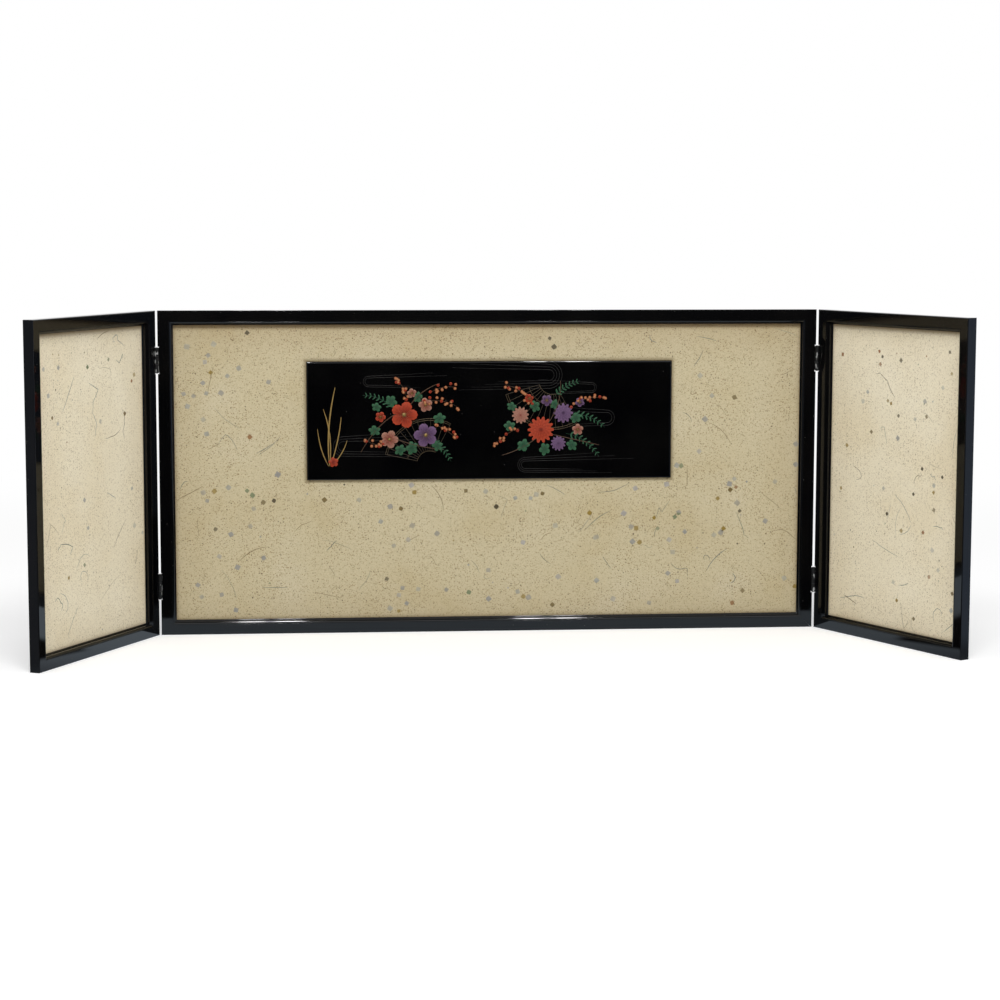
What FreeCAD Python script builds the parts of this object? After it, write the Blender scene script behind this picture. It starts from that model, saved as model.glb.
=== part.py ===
import FreeCAD, Part
import math
import operator
import os
import types
import Sketcher

# A table-top folding screen of three hinged panels. Each panel is a lacquered moulding, mitred
# at its corners, round a thin board with flecked paper in front and plain paper behind.
# The origin is the middle of the centre panel's underside. X runs along that panel, -Y is its
# front and +Z is up.

# Every size that can be set by itself, in millimetres and degrees
sizes = {
    # panels, and how far each wing stands forward of the centre panel's plane
    "panel_height": 330,
    "centre_width": 670,
    "wing_width": 223,
    "fold_angle": 63.2,
    # frame moulding: an outer flat, a groove and a round bead, with a rebate behind
    "face_width": 13.2,
    "arris_radius": 0.8,
    "back_chamfer": 0.5,
    "groove_width": 1.2,
    "groove_depth": 1.8,
    "bead_radius": 1.25,
    "bead_drop": 0.3,
    "lip_depth": 7,
    "rebate_width": 6,
    "cut_overrun": 1,
    # flat splines hidden in the mitred corners
    "spline_side": 4.6,
    "spline_thickness": 1.5,
    "spline_inset": 1.3,
    "spline_clearance": 0.05,
    # board and papers in the rebate
    "paper_thickness": 0.25,
    "board_thickness": 2.5,
    "backing_thickness": 0.25,
    "board_clearance": 0.3,
    # flat steel points, driven into the rebate wall, that hold the board in
    "point_width": 5,
    "point_thickness": 0.5,
    "point_bite": 3,
    "point_reach": 3.5,
    "point_taper": 1.5,
    "point_spacing": 130,
    "point_clearance": 0.05,
    "point_cover": 0.4,
    # plaque on the centre panel
    "plaque_width": 374,
    "plaque_height": 121,
    "plaque_drop": 52,
    "plaque_thickness": 3.2,
    "plaque_edge_radius": 1.6,
    "pad_width": 24,
    "pad_height": 90,
    "pad_thickness": 0.5,
    "pad_margin": 12,
    # butt hinges
    "hinge_inset": 50,
    "leaf_height": 25,
    "leaf_width": 8.5,
    "leaf_thickness": 1,
    "pin_radius": 1.15,
    "pin_clearance": 0.05,
    "pin_head_radius": 1.7,
    "pin_head_height": 0.5,
    "pin_proud": 0.3,
    "barrel_clearance": 0.3,
    "knuckle_gap": 0.1,
    "mortise_depth": 0.5,
    "mortise_slack": 1.3,
    "mortise_end_clearance": 0.3,
    # countersunk hinge screws
    "screw_pitch": 15,
    "screw_length": 8,
    "screw_radius": 0.9,
    "screw_tip": 1.6,
    "screw_tip_angle": 20,
    "screw_head_radius": 1.8,
    "screw_head_angle": 45,
    "screw_clearance": 0.05,
}

doc = FreeCAD.newDocument("FoldingScreen")
sheet = doc.addObject("Spreadsheet::Sheet", "Sizes")
for row, (name, value) in enumerate(sizes.items(), start=1):
    sheet.set("A%d" % row, str(value))
    sheet.setAlias("A%d" % row, name)
doc.recompute()


class Measure:
    # A size with the sheet formula that gives it, so that a constraint can hold the formula
    def __init__(self, value, formula):
        self.value = value
        self.formula = formula

    def join(self, sign, act, other):
        if not isinstance(other, Measure):
            other = Measure(other, str(other))
        formula = "(%s %s %s)" % (self.formula, sign, other.formula)
        return Measure(act(self.value, other.value), formula)

    def __add__(self, other):
        return self.join("+", operator.add, other)

    def __sub__(self, other):
        return self.join("-", operator.sub, other)

    def __mul__(self, other):
        return self.join("*", operator.mul, other)

    def __truediv__(self, other):
        return self.join("/", operator.truediv, other)

    def __neg__(self):
        return Measure(-self.value, "(-%s)" % self.formula)


size = types.SimpleNamespace(
    **{name: Measure(float(sheet.get(name)), "Sizes." + name) for name in sizes}
)
zero = Measure(0.0, "0")

# Places that several pieces share. The frame is as deep as its lip, the papers and board behind
# it, and the points that hold them with a little wood behind.
board_stack = size.paper_thickness + size.board_thickness + size.backing_thickness
point_room = size.point_thickness + size.point_clearance * 2 + size.point_cover
frame_depth = size.lip_depth + board_stack + point_room
front = -frame_depth / 2
back = frame_depth / 2
wall_width = size.face_width - size.rebate_width
bead_width = size.bead_radius * 2
flat_width = size.face_width - size.groove_width - bead_width
paper_front = front + size.lip_depth
board_front = paper_front + size.paper_thickness
backing_front = board_front + size.board_thickness
backing_back = backing_front + size.backing_thickness
point_front = backing_back + size.point_clearance
point_back = point_front + size.point_thickness
plaque_rise = size.panel_height - size.plaque_drop - size.plaque_height
barrel_radius = size.pin_radius + size.pin_clearance + size.leaf_thickness
leaf_outer = barrel_radius + size.barrel_clearance
leaf_inner = leaf_outer - size.leaf_thickness
leaf_start = barrel_radius + size.barrel_clearance
stile_offset = leaf_outer - size.mortise_depth
mortise_back = front - size.pin_proud + size.leaf_width + size.mortise_end_clearance
mortise_length = size.leaf_height + size.mortise_slack * 2
screw_row = leaf_start + (size.leaf_width - leaf_start) / 2
screw_neck = size.screw_head_radius - size.screw_radius
screw_depth = size.screw_length - size.leaf_thickness
pivot_x = size.centre_width / 2 + stile_offset
pivot_y = front - size.pin_proud

y_axis = FreeCAD.Vector(0, 1, 0)
z_axis = FreeCAD.Vector(0, 0, 1)

# The screws and their holes are so small that twelve flats make them round
screw_sides = 12

# A hinge has one knuckle on the centre leaf, between two on the wing leaf
knuckle_count = 3


# Small helpers for sketches and features
def setSize(thing, property_name, measure):
    thing.setExpression(property_name, measure.formula)


def makeBody(name):
    body = doc.addObject("PartDesign::Body", name)
    body.Label = name
    return body


def addSketch(body, name, role, offset=None):
    plane = next(item for item in body.Origin.OriginFeatures if item.Role == role)
    sketch = body.newObject("Sketcher::SketchObject", name)
    sketch.AttachmentSupport = [(plane, "")]
    sketch.MapMode = "FlatFace"
    if offset is not None:
        setSize(sketch, "AttachmentOffset.Base.z", offset)
    return sketch


def holdPoint(sketch, edge, point, across, up):
    for kind, measure in (("DistanceX", across), ("DistanceY", up)):
        if measure is None:
            continue
        row = sketch.addConstraint(Sketcher.Constraint(kind, -1, 1, edge, point, measure.value))
        setSize(sketch, "Constraints[%d]" % row, measure)


def drawOutline(sketch, corners):
    # A closed outline, drawn counterclockwise. A corner is (across, up), and a corner with a
    # third entry starts a round stretch about that centre.
    first = sketch.GeometryCount
    spots = [FreeCAD.Vector(corner[0].value, corner[1].value, 0) for corner in corners]
    for index, corner in enumerate(corners):
        start = spots[index]
        stop = spots[(index + 1) % len(corners)]
        if len(corner) == 2:
            sketch.addGeometry(Part.LineSegment(start, stop))
            continue
        middle = FreeCAD.Vector(corner[2][0].value, corner[2][1].value, 0)
        radius = (start - middle).Length
        begin, end = (math.atan2(spot.y - middle.y, spot.x - middle.x) for spot in (start, stop))
        end += 2 * math.pi * (end < begin)
        sketch.addGeometry(Part.ArcOfCircle(Part.Circle(middle, z_axis, radius), begin, end))
    for index, corner in enumerate(corners):
        edge = first + index
        after = first + (index + 1) % len(corners)
        sketch.addConstraint(Sketcher.Constraint("Coincident", edge, 2, after, 1))
        holdPoint(sketch, edge, 1, corner[0], corner[1])
        if len(corner) == 3:
            chord = spots[(index + 1) % len(corners)] - spots[index]
            lies_across = abs(chord.x) > abs(chord.y)
            across, up = corner[2]
            holdPoint(sketch, edge, 3, None if lies_across else across, up if lies_across else None)


def drawRectangle(sketch, left, right, low, high):
    drawOutline(sketch, [(left, low), (right, low), (right, high), (left, high)])


def drawCircle(sketch, across, up, radius):
    middle = FreeCAD.Vector(across.value, up.value, 0)
    edge = sketch.addGeometry(Part.Circle(middle, z_axis, radius.value))
    row = sketch.addConstraint(Sketcher.Constraint("Radius", edge, radius.value))
    setSize(sketch, "Constraints[%d]" % row, radius)
    holdPoint(sketch, edge, 3, across, up)


def drawScrewRound(sketch, across, up, radius):
    angles = [2 * math.pi * (index + 0.5) / screw_sides for index in range(screw_sides)]
    shares = [(round(math.cos(angle), 6), round(math.sin(angle), 6)) for angle in angles]
    drawOutline(sketch, [(across + radius * share[0], up + radius * share[1]) for share in shares])


def addPad(body, name, sketch, length, symmetric=True, downward=False, taper=None):
    pad = body.newObject("PartDesign::Pad", name)
    pad.Profile = sketch
    pad.SideType = "Symmetric" if symmetric else "One side"
    pad.Reversed = downward
    setSize(pad, "Length", length)
    if taper is not None:
        setSize(pad, "TaperAngle", -taper)
    doc.recompute()
    return pad


def addPocket(body, name, sketch, length=None, symmetric=False, upward=False):
    # With no length the pocket goes right through
    before = body.Shape.Volume
    pocket = body.newObject("PartDesign::Pocket", name)
    pocket.Profile = sketch
    pocket.SideType = "Symmetric" if symmetric else "One side"
    pocket.Reversed = upward
    if length is None:
        pocket.Type = "ThroughAll"
    else:
        setSize(pocket, "Length", length)
    doc.recompute()
    if body.Shape.Volume >= before:
        raise ValueError("%s cuts nothing from %s" % (name, body.Label))
    return pocket


def addRevolution(body, name, sketch):
    turned = body.newObject("PartDesign::Revolution", name)
    turned.Profile = sketch
    turned.ReferenceAxis = (sketch, ["V_Axis"])
    turned.Angle = 360
    doc.recompute()
    return turned


def addDraft(body, name, base, faces, neutral_face, angle):
    # The faces narrow towards the far side of the neutral face
    slant = body.newObject("PartDesign::Draft", name)
    slant.Base = (base, faces)
    slant.NeutralPlane = (base, [neutral_face])
    slant.Reversed = True
    setSize(slant, "Angle", angle)
    doc.recompute()
    return slant


def facesWhere(feature, wanted):
    faces = enumerate(feature.Shape.Faces, start=1)
    return ["Face%d" % number for number, face in faces if wanted(face)]


# Places along a frame member, measured from its middle
def pointSpots(length):
    count = max(2, round(length.value / size.point_spacing.value))
    return [length / count * (index + 0.5) - length / 2 for index in range(count)]


def hingeSpots():
    reach = size.panel_height / 2 - size.hinge_inset
    return [-reach, reach]


def screwSpots():
    return [spot + size.screw_pitch / 2 * side for spot in hingeSpots() for side in (-1, 1)]


def makeMember(name, length, hinged):
    # One side of a frame, lying along X with its outer edge down and its face towards -Y
    body = makeBody(name)
    profile = addSketch(body, name + "_profile", "YZ_Plane")
    bead_level = front + size.bead_drop + size.bead_radius
    drawOutline(profile, [
        (front + size.arris_radius, zero),
        (back - size.back_chamfer, zero),
        (back, size.back_chamfer),
        (back, wall_width),
        (paper_front, wall_width),
        (paper_front, size.face_width),
        (bead_level, size.face_width, (bead_level, size.face_width - size.bead_radius)),
        (bead_level, size.face_width - bead_width),
        (front + size.groove_depth, size.face_width - bead_width),
        (front + size.groove_depth, flat_width),
        (front, flat_width),
        (front, size.arris_radius, (front + size.arris_radius, size.arris_radius)),
    ])
    addPad(body, name + "_length", profile, length)

    # Both ends are cut at 45 degrees, from the outer corner inward
    mitres = addSketch(body, name + "_mitres", "XZ_Plane")
    over = size.cut_overrun
    tip = length / 2 + over
    shoulder = length / 2 - size.face_width - over
    high = size.face_width + over
    drawOutline(mitres, [(tip, -over), (tip, high), (shoulder, high)])
    drawOutline(mitres, [(-tip, -over), (-shoulder, high), (-tip, high)])
    addPocket(body, name + "_mitre_cuts", mitres, symmetric=True)

    # A slot at each end takes half of the corner's spline
    slots = addSketch(body, name + "_spline_slots", "XZ_Plane")
    near = size.spline_inset - size.spline_clearance
    far = size.spline_inset + size.spline_side + size.spline_clearance
    drawRectangle(slots, length / 2 - far, length / 2 - near, near, far)
    drawRectangle(slots, near - length / 2, far - length / 2, near, far)
    slot_width = size.spline_thickness + size.spline_clearance * 2
    addPocket(body, name + "_spline_cuts", slots, slot_width, symmetric=True)

    # Slits in the rebate wall, where the points have been driven in
    slits = addSketch(body, name + "_point_slits", "XY_Plane", wall_width)
    half = size.point_width / 2 + size.point_clearance
    for spot in pointSpots(length):
        slit_back = point_back + size.point_clearance
        drawRectangle(slits, spot - half, spot + half, backing_back, slit_back)
    addPocket(body, name + "_point_cuts", slits, size.point_bite + size.point_clearance)
    if hinged:
        cutHingeSeats(body, name)
    return body


def cutHingeSeats(body, name):
    # Shallow mortises for the hinge leaves, open at the front, and pilot holes for the screws
    mortises = addSketch(body, name + "_mortises", "XY_Plane")
    half = mortise_length / 2
    for spot in hingeSpots():
        drawRectangle(mortises, spot - half, spot + half, front - size.cut_overrun, mortise_back)
    addPocket(body, name + "_mortise_cuts", mortises, size.mortise_depth, upward=True)

    pilots = addSketch(body, name + "_pilots", "XY_Plane")
    for spot in screwSpots():
        row = pivot_y + screw_row
        drawScrewRound(pilots, spot, row, size.screw_radius + size.screw_clearance)
    pilot_depth = size.mortise_depth + screw_depth + size.screw_clearance
    addPocket(body, name + "_pilot_bores", pilots, pilot_depth, upward=True)


def makeSheetPiece(name, width, thickness):
    # A flat board or paper that fills the rebate, less its clearance, all round
    box = doc.addObject("Part::Box", name)
    box.Label = name
    inset = (wall_width + size.board_clearance) * 2
    setSize(box, "Length", width - inset)
    setSize(box, "Width", thickness)
    setSize(box, "Height", size.panel_height - inset)
    return box


def makePlaque():
    # Back face on the XZ plane, middle of the lower edge at the origin
    body = makeBody("plaque")
    outline = addSketch(body, "plaque_outline", "XZ_Plane")
    half = size.plaque_width / 2
    drawRectangle(outline, -half, half, zero, size.plaque_height)
    pad = addPad(body, "plaque_board", outline, size.plaque_thickness, symmetric=False)
    middle = pad.Shape.BoundBox.Center.y
    edges = enumerate(pad.Shape.Edges, start=1)
    front_edges = ["Edge%d" % number for number, edge in edges if edge.BoundBox.YMax < middle]
    rounding = body.newObject("PartDesign::Fillet", "plaque_round_edges")
    rounding.Base = (pad, front_edges)
    setSize(rounding, "Radius", size.plaque_edge_radius)
    doc.recompute()
    return body


def makeLeaf(name, knuckle_zones):
    # A hinge leaf about its pin, which stands on Z. The plate lies towards +X and runs back
    # along +Y, and knuckle_zones gives each knuckle's low and high end.
    body = makeBody(name)
    plate = addSketch(body, name + "_plate", "XY_Plane")
    drawRectangle(plate, leaf_inner, leaf_outer, leaf_start, size.leaf_width)
    addPad(body, name + "_plate_height", plate, size.leaf_height)

    # Two countersunk holes, entered from the inner face of the plate
    sinks = addSketch(body, name + "_countersinks", "YZ_Plane", leaf_inner)
    holes = addSketch(body, name + "_screw_holes", "YZ_Plane")
    for side in (-1, 1):
        spot = size.screw_pitch / 2 * side
        drawScrewRound(sinks, screw_row, spot, size.screw_head_radius + size.screw_clearance)
        drawScrewRound(holes, screw_row, spot, size.screw_radius + size.screw_clearance)
    seats = addPocket(body, name + "_countersink_cuts", sinks, screw_neck, upward=True)
    seat_level = (leaf_inner + screw_neck / 2).value
    margin = ((size.leaf_thickness - screw_neck) / 4).value
    inner_face = facesWhere(seats, lambda face: face.BoundBox.XMax < seat_level)[0]
    seat_walls = facesWhere(seats, lambda face: abs(face.CenterOfMass.x - seat_level) < margin)
    addDraft(body, name + "_countersink_slants", seats, seat_walls, inner_face, size.screw_head_angle)
    addPocket(body, name + "_screw_bores", holes, symmetric=True)

    for number, (low, high) in enumerate(knuckle_zones, start=1):
        for part, draw in (("tang", drawTang), ("ring", drawRing)):
            stem = "%s_%s_%d" % (name, part, number)
            sketch = addSketch(body, stem, "XY_Plane", low)
            draw(sketch)
            addPad(body, stem + "_height", sketch, high - low, symmetric=False)

    bore = addSketch(body, name + "_bore", "XY_Plane")
    drawCircle(bore, zero, zero, size.pin_radius + size.pin_clearance)
    addPocket(body, name + "_pin_bore", bore, symmetric=True)
    return body


def drawTang(sketch):
    # The strip that joins a knuckle to the plate
    drawRectangle(sketch, leaf_inner, leaf_outer, size.pin_proud, leaf_start)


def drawRing(sketch):
    drawCircle(sketch, zero, zero, barrel_radius)


def makePin(name):
    # A plain pin with a low flat head at each end, its middle at the origin
    body = makeBody(name)
    outline = addSketch(body, name + "_outline", "XZ_Plane")
    seat = size.leaf_height / 2 + size.knuckle_gap
    top = seat + size.pin_head_height
    drawOutline(outline, [
        (zero, -top),
        (size.pin_head_radius, -top),
        (size.pin_head_radius, -seat),
        (size.pin_radius, -seat),
        (size.pin_radius, seat),
        (size.pin_head_radius, seat),
        (size.pin_head_radius, top),
        (zero, top),
    ])
    addRevolution(body, name + "_turned", outline)
    return body


def makeScrew(name):
    # A countersunk screw with the top of its head at the origin, pointing down
    body = makeBody(name)
    outline = addSketch(body, name + "_head", "XY_Plane")
    drawScrewRound(outline, zero, zero, size.screw_head_radius)
    head = addPad(body, name + "_head_height", outline, screw_neck, symmetric=False, downward=True)
    top = facesWhere(head, lambda face: face.BoundBox.ZMin > head.Shape.BoundBox.Center.z)[0]
    sides = facesWhere(head, lambda face: face.BoundBox.ZLength > screw_neck.value / 2)
    addDraft(body, name + "_head_slant", head, sides, top, size.screw_head_angle)

    shoulder = size.screw_length - size.screw_tip
    for part, level, length, taper in (
        ("shank", zero, shoulder, None),
        ("tip", -shoulder, size.screw_tip, size.screw_tip_angle),
    ):
        outline = addSketch(body, "%s_%s" % (name, part), "XY_Plane", level)
        drawScrewRound(outline, zero, zero, size.screw_radius)
        addPad(body, "%s_%s_length" % (name, part), outline, length, False, True, taper)
    return body


def makePoint(name):
    # A flat steel point on the XZ plane. Its tapered end goes down into the rebate wall.
    body = makeBody(name)
    outline = addSketch(body, name + "_outline", "XZ_Plane")
    half = size.point_width / 2
    shoulder = size.point_taper - size.point_bite
    drawOutline(outline, [
        (zero, -size.point_bite),
        (half, shoulder),
        (half, size.point_reach),
        (-half, size.point_reach),
        (-half, shoulder),
    ])
    addPad(body, name + "_thickness", outline, size.point_thickness)
    return body


def makeBlock(name, length, width, height):
    # A plain block about the origin
    block = doc.addObject("Part::Box", name)
    for side, axis, measure in (("Length", "x", length), ("Width", "y", width), ("Height", "z", height)):
        setSize(block, side, measure)
        setSize(block, "Placement.Base." + axis, -measure / 2)
    return block


# Placements are worked out in each panel's own frame, then carried to where the panel stands
def shift(across, along, up):
    return FreeCAD.Placement(FreeCAD.Vector(across.value, along.value, up.value), FreeCAD.Rotation())


def turn(axis, degrees):
    return FreeCAD.Placement(FreeCAD.Vector(), FreeCAD.Rotation(axis, degrees))


def panelFrame(side, width):
    # side is 0 for the centre panel, -1 for the left wing and 1 for the right wing
    if side == 0:
        return FreeCAD.Placement()
    offset = stile_offset + width / 2
    return pivotFrame(side, zero, True) * shift(offset * side, -pivot_y, zero)


def pivotFrame(side, up, folded):
    frame = shift(pivot_x * side, pivot_y, up)
    if folded:
        frame = frame * turn(z_axis, -side * size.fold_angle.value)
    return frame


def memberPlaces(width):
    # The four sides of a frame, named as seen from the front
    return {
        "bottom": FreeCAD.Placement(),
        "top": shift(zero, zero, size.panel_height) * turn(y_axis, 180),
        "left": shift(-width / 2, zero, size.panel_height / 2) * turn(y_axis, 90),
        "right": shift(width / 2, zero, size.panel_height / 2) * turn(y_axis, -90),
    }


# Every piece that becomes a file of its own
pieces = []


def place(piece, placement):
    piece.Placement = placement
    pieces.append(piece)


def placeCopies(name, master, frame, places):
    # Equal small pieces that share one name
    group = doc.addObject("Part::Feature", name)
    group.Label = name
    copies = []
    for spot in places:
        copy = master.Shape.copy()
        copy.Placement = spot * copy.Placement
        copies.append(copy)
    group.Shape = Part.makeCompound(copies)
    place(group, frame)


def cornerPlaces(width):
    middle = size.spline_inset + size.spline_side / 2
    for side in (-1, 1):
        for up in (middle, size.panel_height - middle):
            yield shift((width / 2 - middle) * side, zero, up)


def pointPlaces(width):
    for end, member in memberPlaces(width).items():
        length = width if end in ("top", "bottom") else size.panel_height
        for spot in pointSpots(length):
            yield member * shift(spot, point_front + size.point_thickness / 2, wall_width)


def hingeHeights():
    return {"lower": size.hinge_inset, "upper": size.panel_height - size.hinge_inset}


def leafTurn(side):
    # A leaf is made for a plate towards +X, and is turned over for the other side
    return turn(y_axis, 180) if side < 0 else FreeCAD.Placement()


def screwPlaces(side, leaf_side, folded):
    # The screws go through the plate from inside the fold, towards the stile
    for height in hingeHeights().values():
        for end in (-1, 1):
            head = shift(leaf_inner, screw_row, size.screw_pitch / 2 * end)
            yield pivotFrame(side, height, folded) * leafTurn(leaf_side) * head * turn(y_axis, -90)


def buildPanel(prefix, side, width):
    frame = panelFrame(side, width)
    hinged = {0: ("left", "right"), -1: ("right",), 1: ("left",)}[side]
    for end, member_place in memberPlaces(width).items():
        if end in ("top", "bottom"):
            name = "%s_%s_rail" % (prefix, end)
            member = makeMember(name, width, False)
        else:
            wing_end = "hinge" if end in hinged else "outer"
            name = "%s_%s_stile" % (prefix, end if side == 0 else wing_end)
            member = makeMember(name, size.panel_height, end in hinged)
        place(member, frame * member_place)

    inset = wall_width + size.board_clearance
    for part, thickness, level in (
        ("front_paper", size.paper_thickness, paper_front),
        ("core_board", size.board_thickness, board_front),
        ("backing_paper", size.backing_thickness, backing_front),
    ):
        piece = makeSheetPiece("%s_%s" % (prefix, part), width, thickness)
        doc.recompute()
        place(piece, frame * shift(inset - width / 2, level, inset))
    placeCopies(prefix + "_corner_splines", spline, frame, cornerPlaces(width))
    placeCopies(prefix + "_retaining_points", point, frame, pointPlaces(width))


def buildPlaque():
    plaque_back = paper_front - size.pad_thickness
    place(makePlaque(), shift(zero, plaque_back, plaque_rise))
    reach = size.plaque_width / 2 - size.pad_margin - size.pad_width / 2
    middle = plaque_rise + size.plaque_height / 2
    spots = [shift(reach * step, paper_front - size.pad_thickness / 2, middle) for step in (-1, 0, 1)]
    placeCopies("plaque_adhesive_pads", pad_block, FreeCAD.Placement(), spots)


def buildHinges(side, side_name):
    middle = size.leaf_height / knuckle_count / 2
    half_gap = size.knuckle_gap / 2
    end = size.leaf_height / 2
    centre_zones = [(half_gap - middle, middle - half_gap)]
    wing_zones = [(-end, -middle - half_gap), (middle + half_gap, end)]
    for level, height in hingeHeights().items():
        stem = "%s_%s_hinge" % (side_name, level)
        still = pivotFrame(side, height, False)
        folded = pivotFrame(side, height, True)
        place(makeLeaf(stem + "_centre_leaf", centre_zones), still * leafTurn(-side))
        place(makeLeaf(stem + "_wing_leaf", wing_zones), folded * leafTurn(side))
        place(makePin(stem + "_pin"), still)
    centre_screws = screwPlaces(side, -side, False)
    placeCopies("%s_centre_hinge_screws" % side_name, screw, FreeCAD.Placement(), centre_screws)
    wing_screws = screwPlaces(side, side, True)
    placeCopies("%s_wing_hinge_screws" % side_name, screw, FreeCAD.Placement(), wing_screws)


# One of each repeated small piece, copied into its groups
spline = makeBlock("spline", size.spline_side, size.spline_thickness, size.spline_side)
pad_block = makeBlock("adhesive_pad", size.pad_width, size.pad_thickness, size.pad_height)
point = makePoint("retaining_point")
screw = makeScrew("hinge_screw")
doc.recompute()

buildPanel("centre", 0, size.centre_width)
buildPanel("left_wing", -1, size.wing_width)
buildPanel("right_wing", 1, size.wing_width)
buildPlaque()
buildHinges(-1, "left")
buildHinges(1, "right")
doc.recompute()

# Nothing is written unless every object and every piece is sound
for item in doc.Objects:
    if "Invalid" in item.State or "Error" in item.State:
        raise ValueError("%s failed: %s" % (item.Label, item.State))
for piece in pieces:
    if piece.Shape.isNull() or not piece.Shape.isValid():
        raise ValueError("%s has no sound shape" % piece.Label)

os.makedirs("parts", exist_ok=True)
for piece in pieces:
    piece.Shape.exportStep("parts/%s.step" % piece.Label)
    print(piece.Label, len(piece.Shape.Solids), "solids", round(piece.Shape.Volume, 1), "mm3")
print(len(pieces), "pieces")
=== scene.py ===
import math
import bpy
import numpy as np
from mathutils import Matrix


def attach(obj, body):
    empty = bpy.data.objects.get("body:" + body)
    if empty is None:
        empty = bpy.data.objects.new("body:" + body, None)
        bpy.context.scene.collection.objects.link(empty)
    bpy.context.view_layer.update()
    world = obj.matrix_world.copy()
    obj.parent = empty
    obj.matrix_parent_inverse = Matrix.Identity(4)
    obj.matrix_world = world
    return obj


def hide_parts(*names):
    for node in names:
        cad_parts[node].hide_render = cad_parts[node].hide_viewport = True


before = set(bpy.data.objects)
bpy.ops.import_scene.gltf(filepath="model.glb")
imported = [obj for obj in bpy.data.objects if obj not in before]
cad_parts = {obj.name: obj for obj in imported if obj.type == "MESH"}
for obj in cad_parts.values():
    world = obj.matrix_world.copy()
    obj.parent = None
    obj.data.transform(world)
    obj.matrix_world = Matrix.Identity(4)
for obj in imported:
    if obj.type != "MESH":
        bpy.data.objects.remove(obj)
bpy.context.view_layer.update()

# Three hinged panels of a small folding screen, in metres. X runs along the centre panel,
# -Y is its front and Z is up. Shapes are worked out in millimetres and scaled at the end.
mm = 0.001

screen = {
    "height": 330.0, "centreWidth": 670.0, "wingWidth": 223.0, "fold": 63.2,
    "depth": 11.0, "stileOffset": 2.0, "pivotX": 337.0, "pivotY": -5.8,
    "paperFront": 1.5, "faceWidth": 13.2,
    "lip": 1.3,     # the moulding reaches on over the paper by this
}
panels = {          # body, side and width
    "centre": ("centre_panel", 0, screen["centreWidth"]),
    "leftWing": ("left_wing", -1, screen["wingWidth"]),
    "rightWing": ("right_wing", 1, screen["wingWidth"]),
}
plaque = {
    "halfWidth": 187.0, "halfHeight": 60.5, "middle": 217.5, "front": -2.2, "thickness": 3.2,
    "edge": 1.6, "edgeSteps": 12, "corner": 0.5, "innerCorner": 0.05, "cornerSteps": 6,
    "support": 0.12, "sideShares": (0.01, 0.2, 0.5, 0.8, 0.99), "sharpAbove": 35.0,
}


def linear(colour):
    # An sRGB colour of 0 to 255 as linear light: ((c + 0.055) / 1.055) ^ 2.4
    return tuple(((value / 255 + 0.055) / 1.055) ** 2.4 if value > 10 else value / 255 / 12.92
                 for value in colour) + (1.0,)


class Wire:
    # One output socket. Sums and products on it add Math nodes.
    def __init__(self, sheet, socket):
        self.sheet = sheet
        self.socket = socket

    def maths(self, operation, first, second):
        return self.sheet.maths(operation, first, second)

    def __add__(self, other):
        return self.maths("ADD", self, other)

    def __sub__(self, other):
        return self.maths("SUBTRACT", self, other)

    def __rsub__(self, other):
        return self.maths("SUBTRACT", other, self)

    def __mul__(self, other):
        return self.maths("MULTIPLY", self, other)

    def __lt__(self, other):
        return self.maths("LESS_THAN", self, other)

    def __gt__(self, other):
        return self.maths("GREATER_THAN", self, other)

    __radd__ = __add__
    __rmul__ = __mul__


class NodeSheet:
    # The node tree of one material or of the world
    def __init__(self, owner):
        owner.use_nodes = True
        self.tree = owner.node_tree
        self.tree.nodes.clear()

    def node(self, kind, settings=None, sockets=None, output=0):
        made = self.tree.nodes.new("ShaderNode" + kind)
        for key, value in (settings or {}).items():
            setattr(made, key, value)
        for key, value in (sockets or {}).items():
            if isinstance(value, Wire):
                self.tree.links.new(value.socket, made.inputs[key])
            elif value is not None:
                made.inputs[key].default_value = value
        return Wire(self, made.outputs[output])

    def maths(self, operation, first, second):
        return self.node("Math", {"operation": operation}, {0: first, 1: second})

    def place(self):
        return self.node("TexCoord", output="Object")

    def noise(self, scale, detail=2.0, vector=None, roughness=0.5):
        return self.node("TexNoise", {}, {"Vector": vector or self.place(), "Scale": scale,
                                          "Detail": detail, "Roughness": roughness})

    def cells(self, scale, vector=None, output="Distance", feature="F1"):
        return self.node("TexVoronoi", {"feature": feature},
                         {"Vector": vector or self.place(), "Scale": scale}, output=output)

    def axis(self, vector, index):
        return self.node("SeparateXYZ", {}, {0: vector}, output=index)

    def size(self, wire):
        return self.maths("ABSOLUTE", wire, 0.0)

    def beyond(self, across, half, up, halfHeight):
        # max(|across| - half, |up| - halfHeight), which is below zero inside that rectangle
        return self.maths("MAXIMUM", self.size(across) - half, self.size(up) - halfHeight)

    def span(self, wire, low, high, start=0.0, stop=1.0, smooth=True):
        # wire from low to high becomes start to stop
        kind = "SMOOTHSTEP" if smooth else "LINEAR"
        return self.node("MapRange", {"interpolation_type": kind},
                         {"Value": wire, "From Min": low, "From Max": high,
                          "To Min": start, "To Max": stop})

    def stretch(self, scales):
        return self.node("Mapping", {}, {"Vector": self.place(), "Scale": scales})

    def mix(self, factor, first, second, blend="MIX"):
        # Colours: first where factor is 0, second where it is 1
        return self.node("Mix", {"data_type": "RGBA", "blend_type": blend},
                         {0: factor, 6: first, 7: second}, output=2)

    def bump(self, height, distance, strength=1.0, normal=None):
        return self.node("Bump", {}, {"Height": height, "Distance": distance,
                                      "Strength": strength, "Normal": normal})

    def surface(self, shader, kind="Material"):
        ending = self.tree.nodes.new("ShaderNodeOutput" + kind)
        self.tree.links.new(shader.socket, ending.inputs[0])

    def principled(self, sockets):
        self.surface(self.node("BsdfPrincipled", {}, sockets))


def newMaterial(name):
    material = bpy.data.materials.new(name)
    return material, NodeSheet(material)


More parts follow.
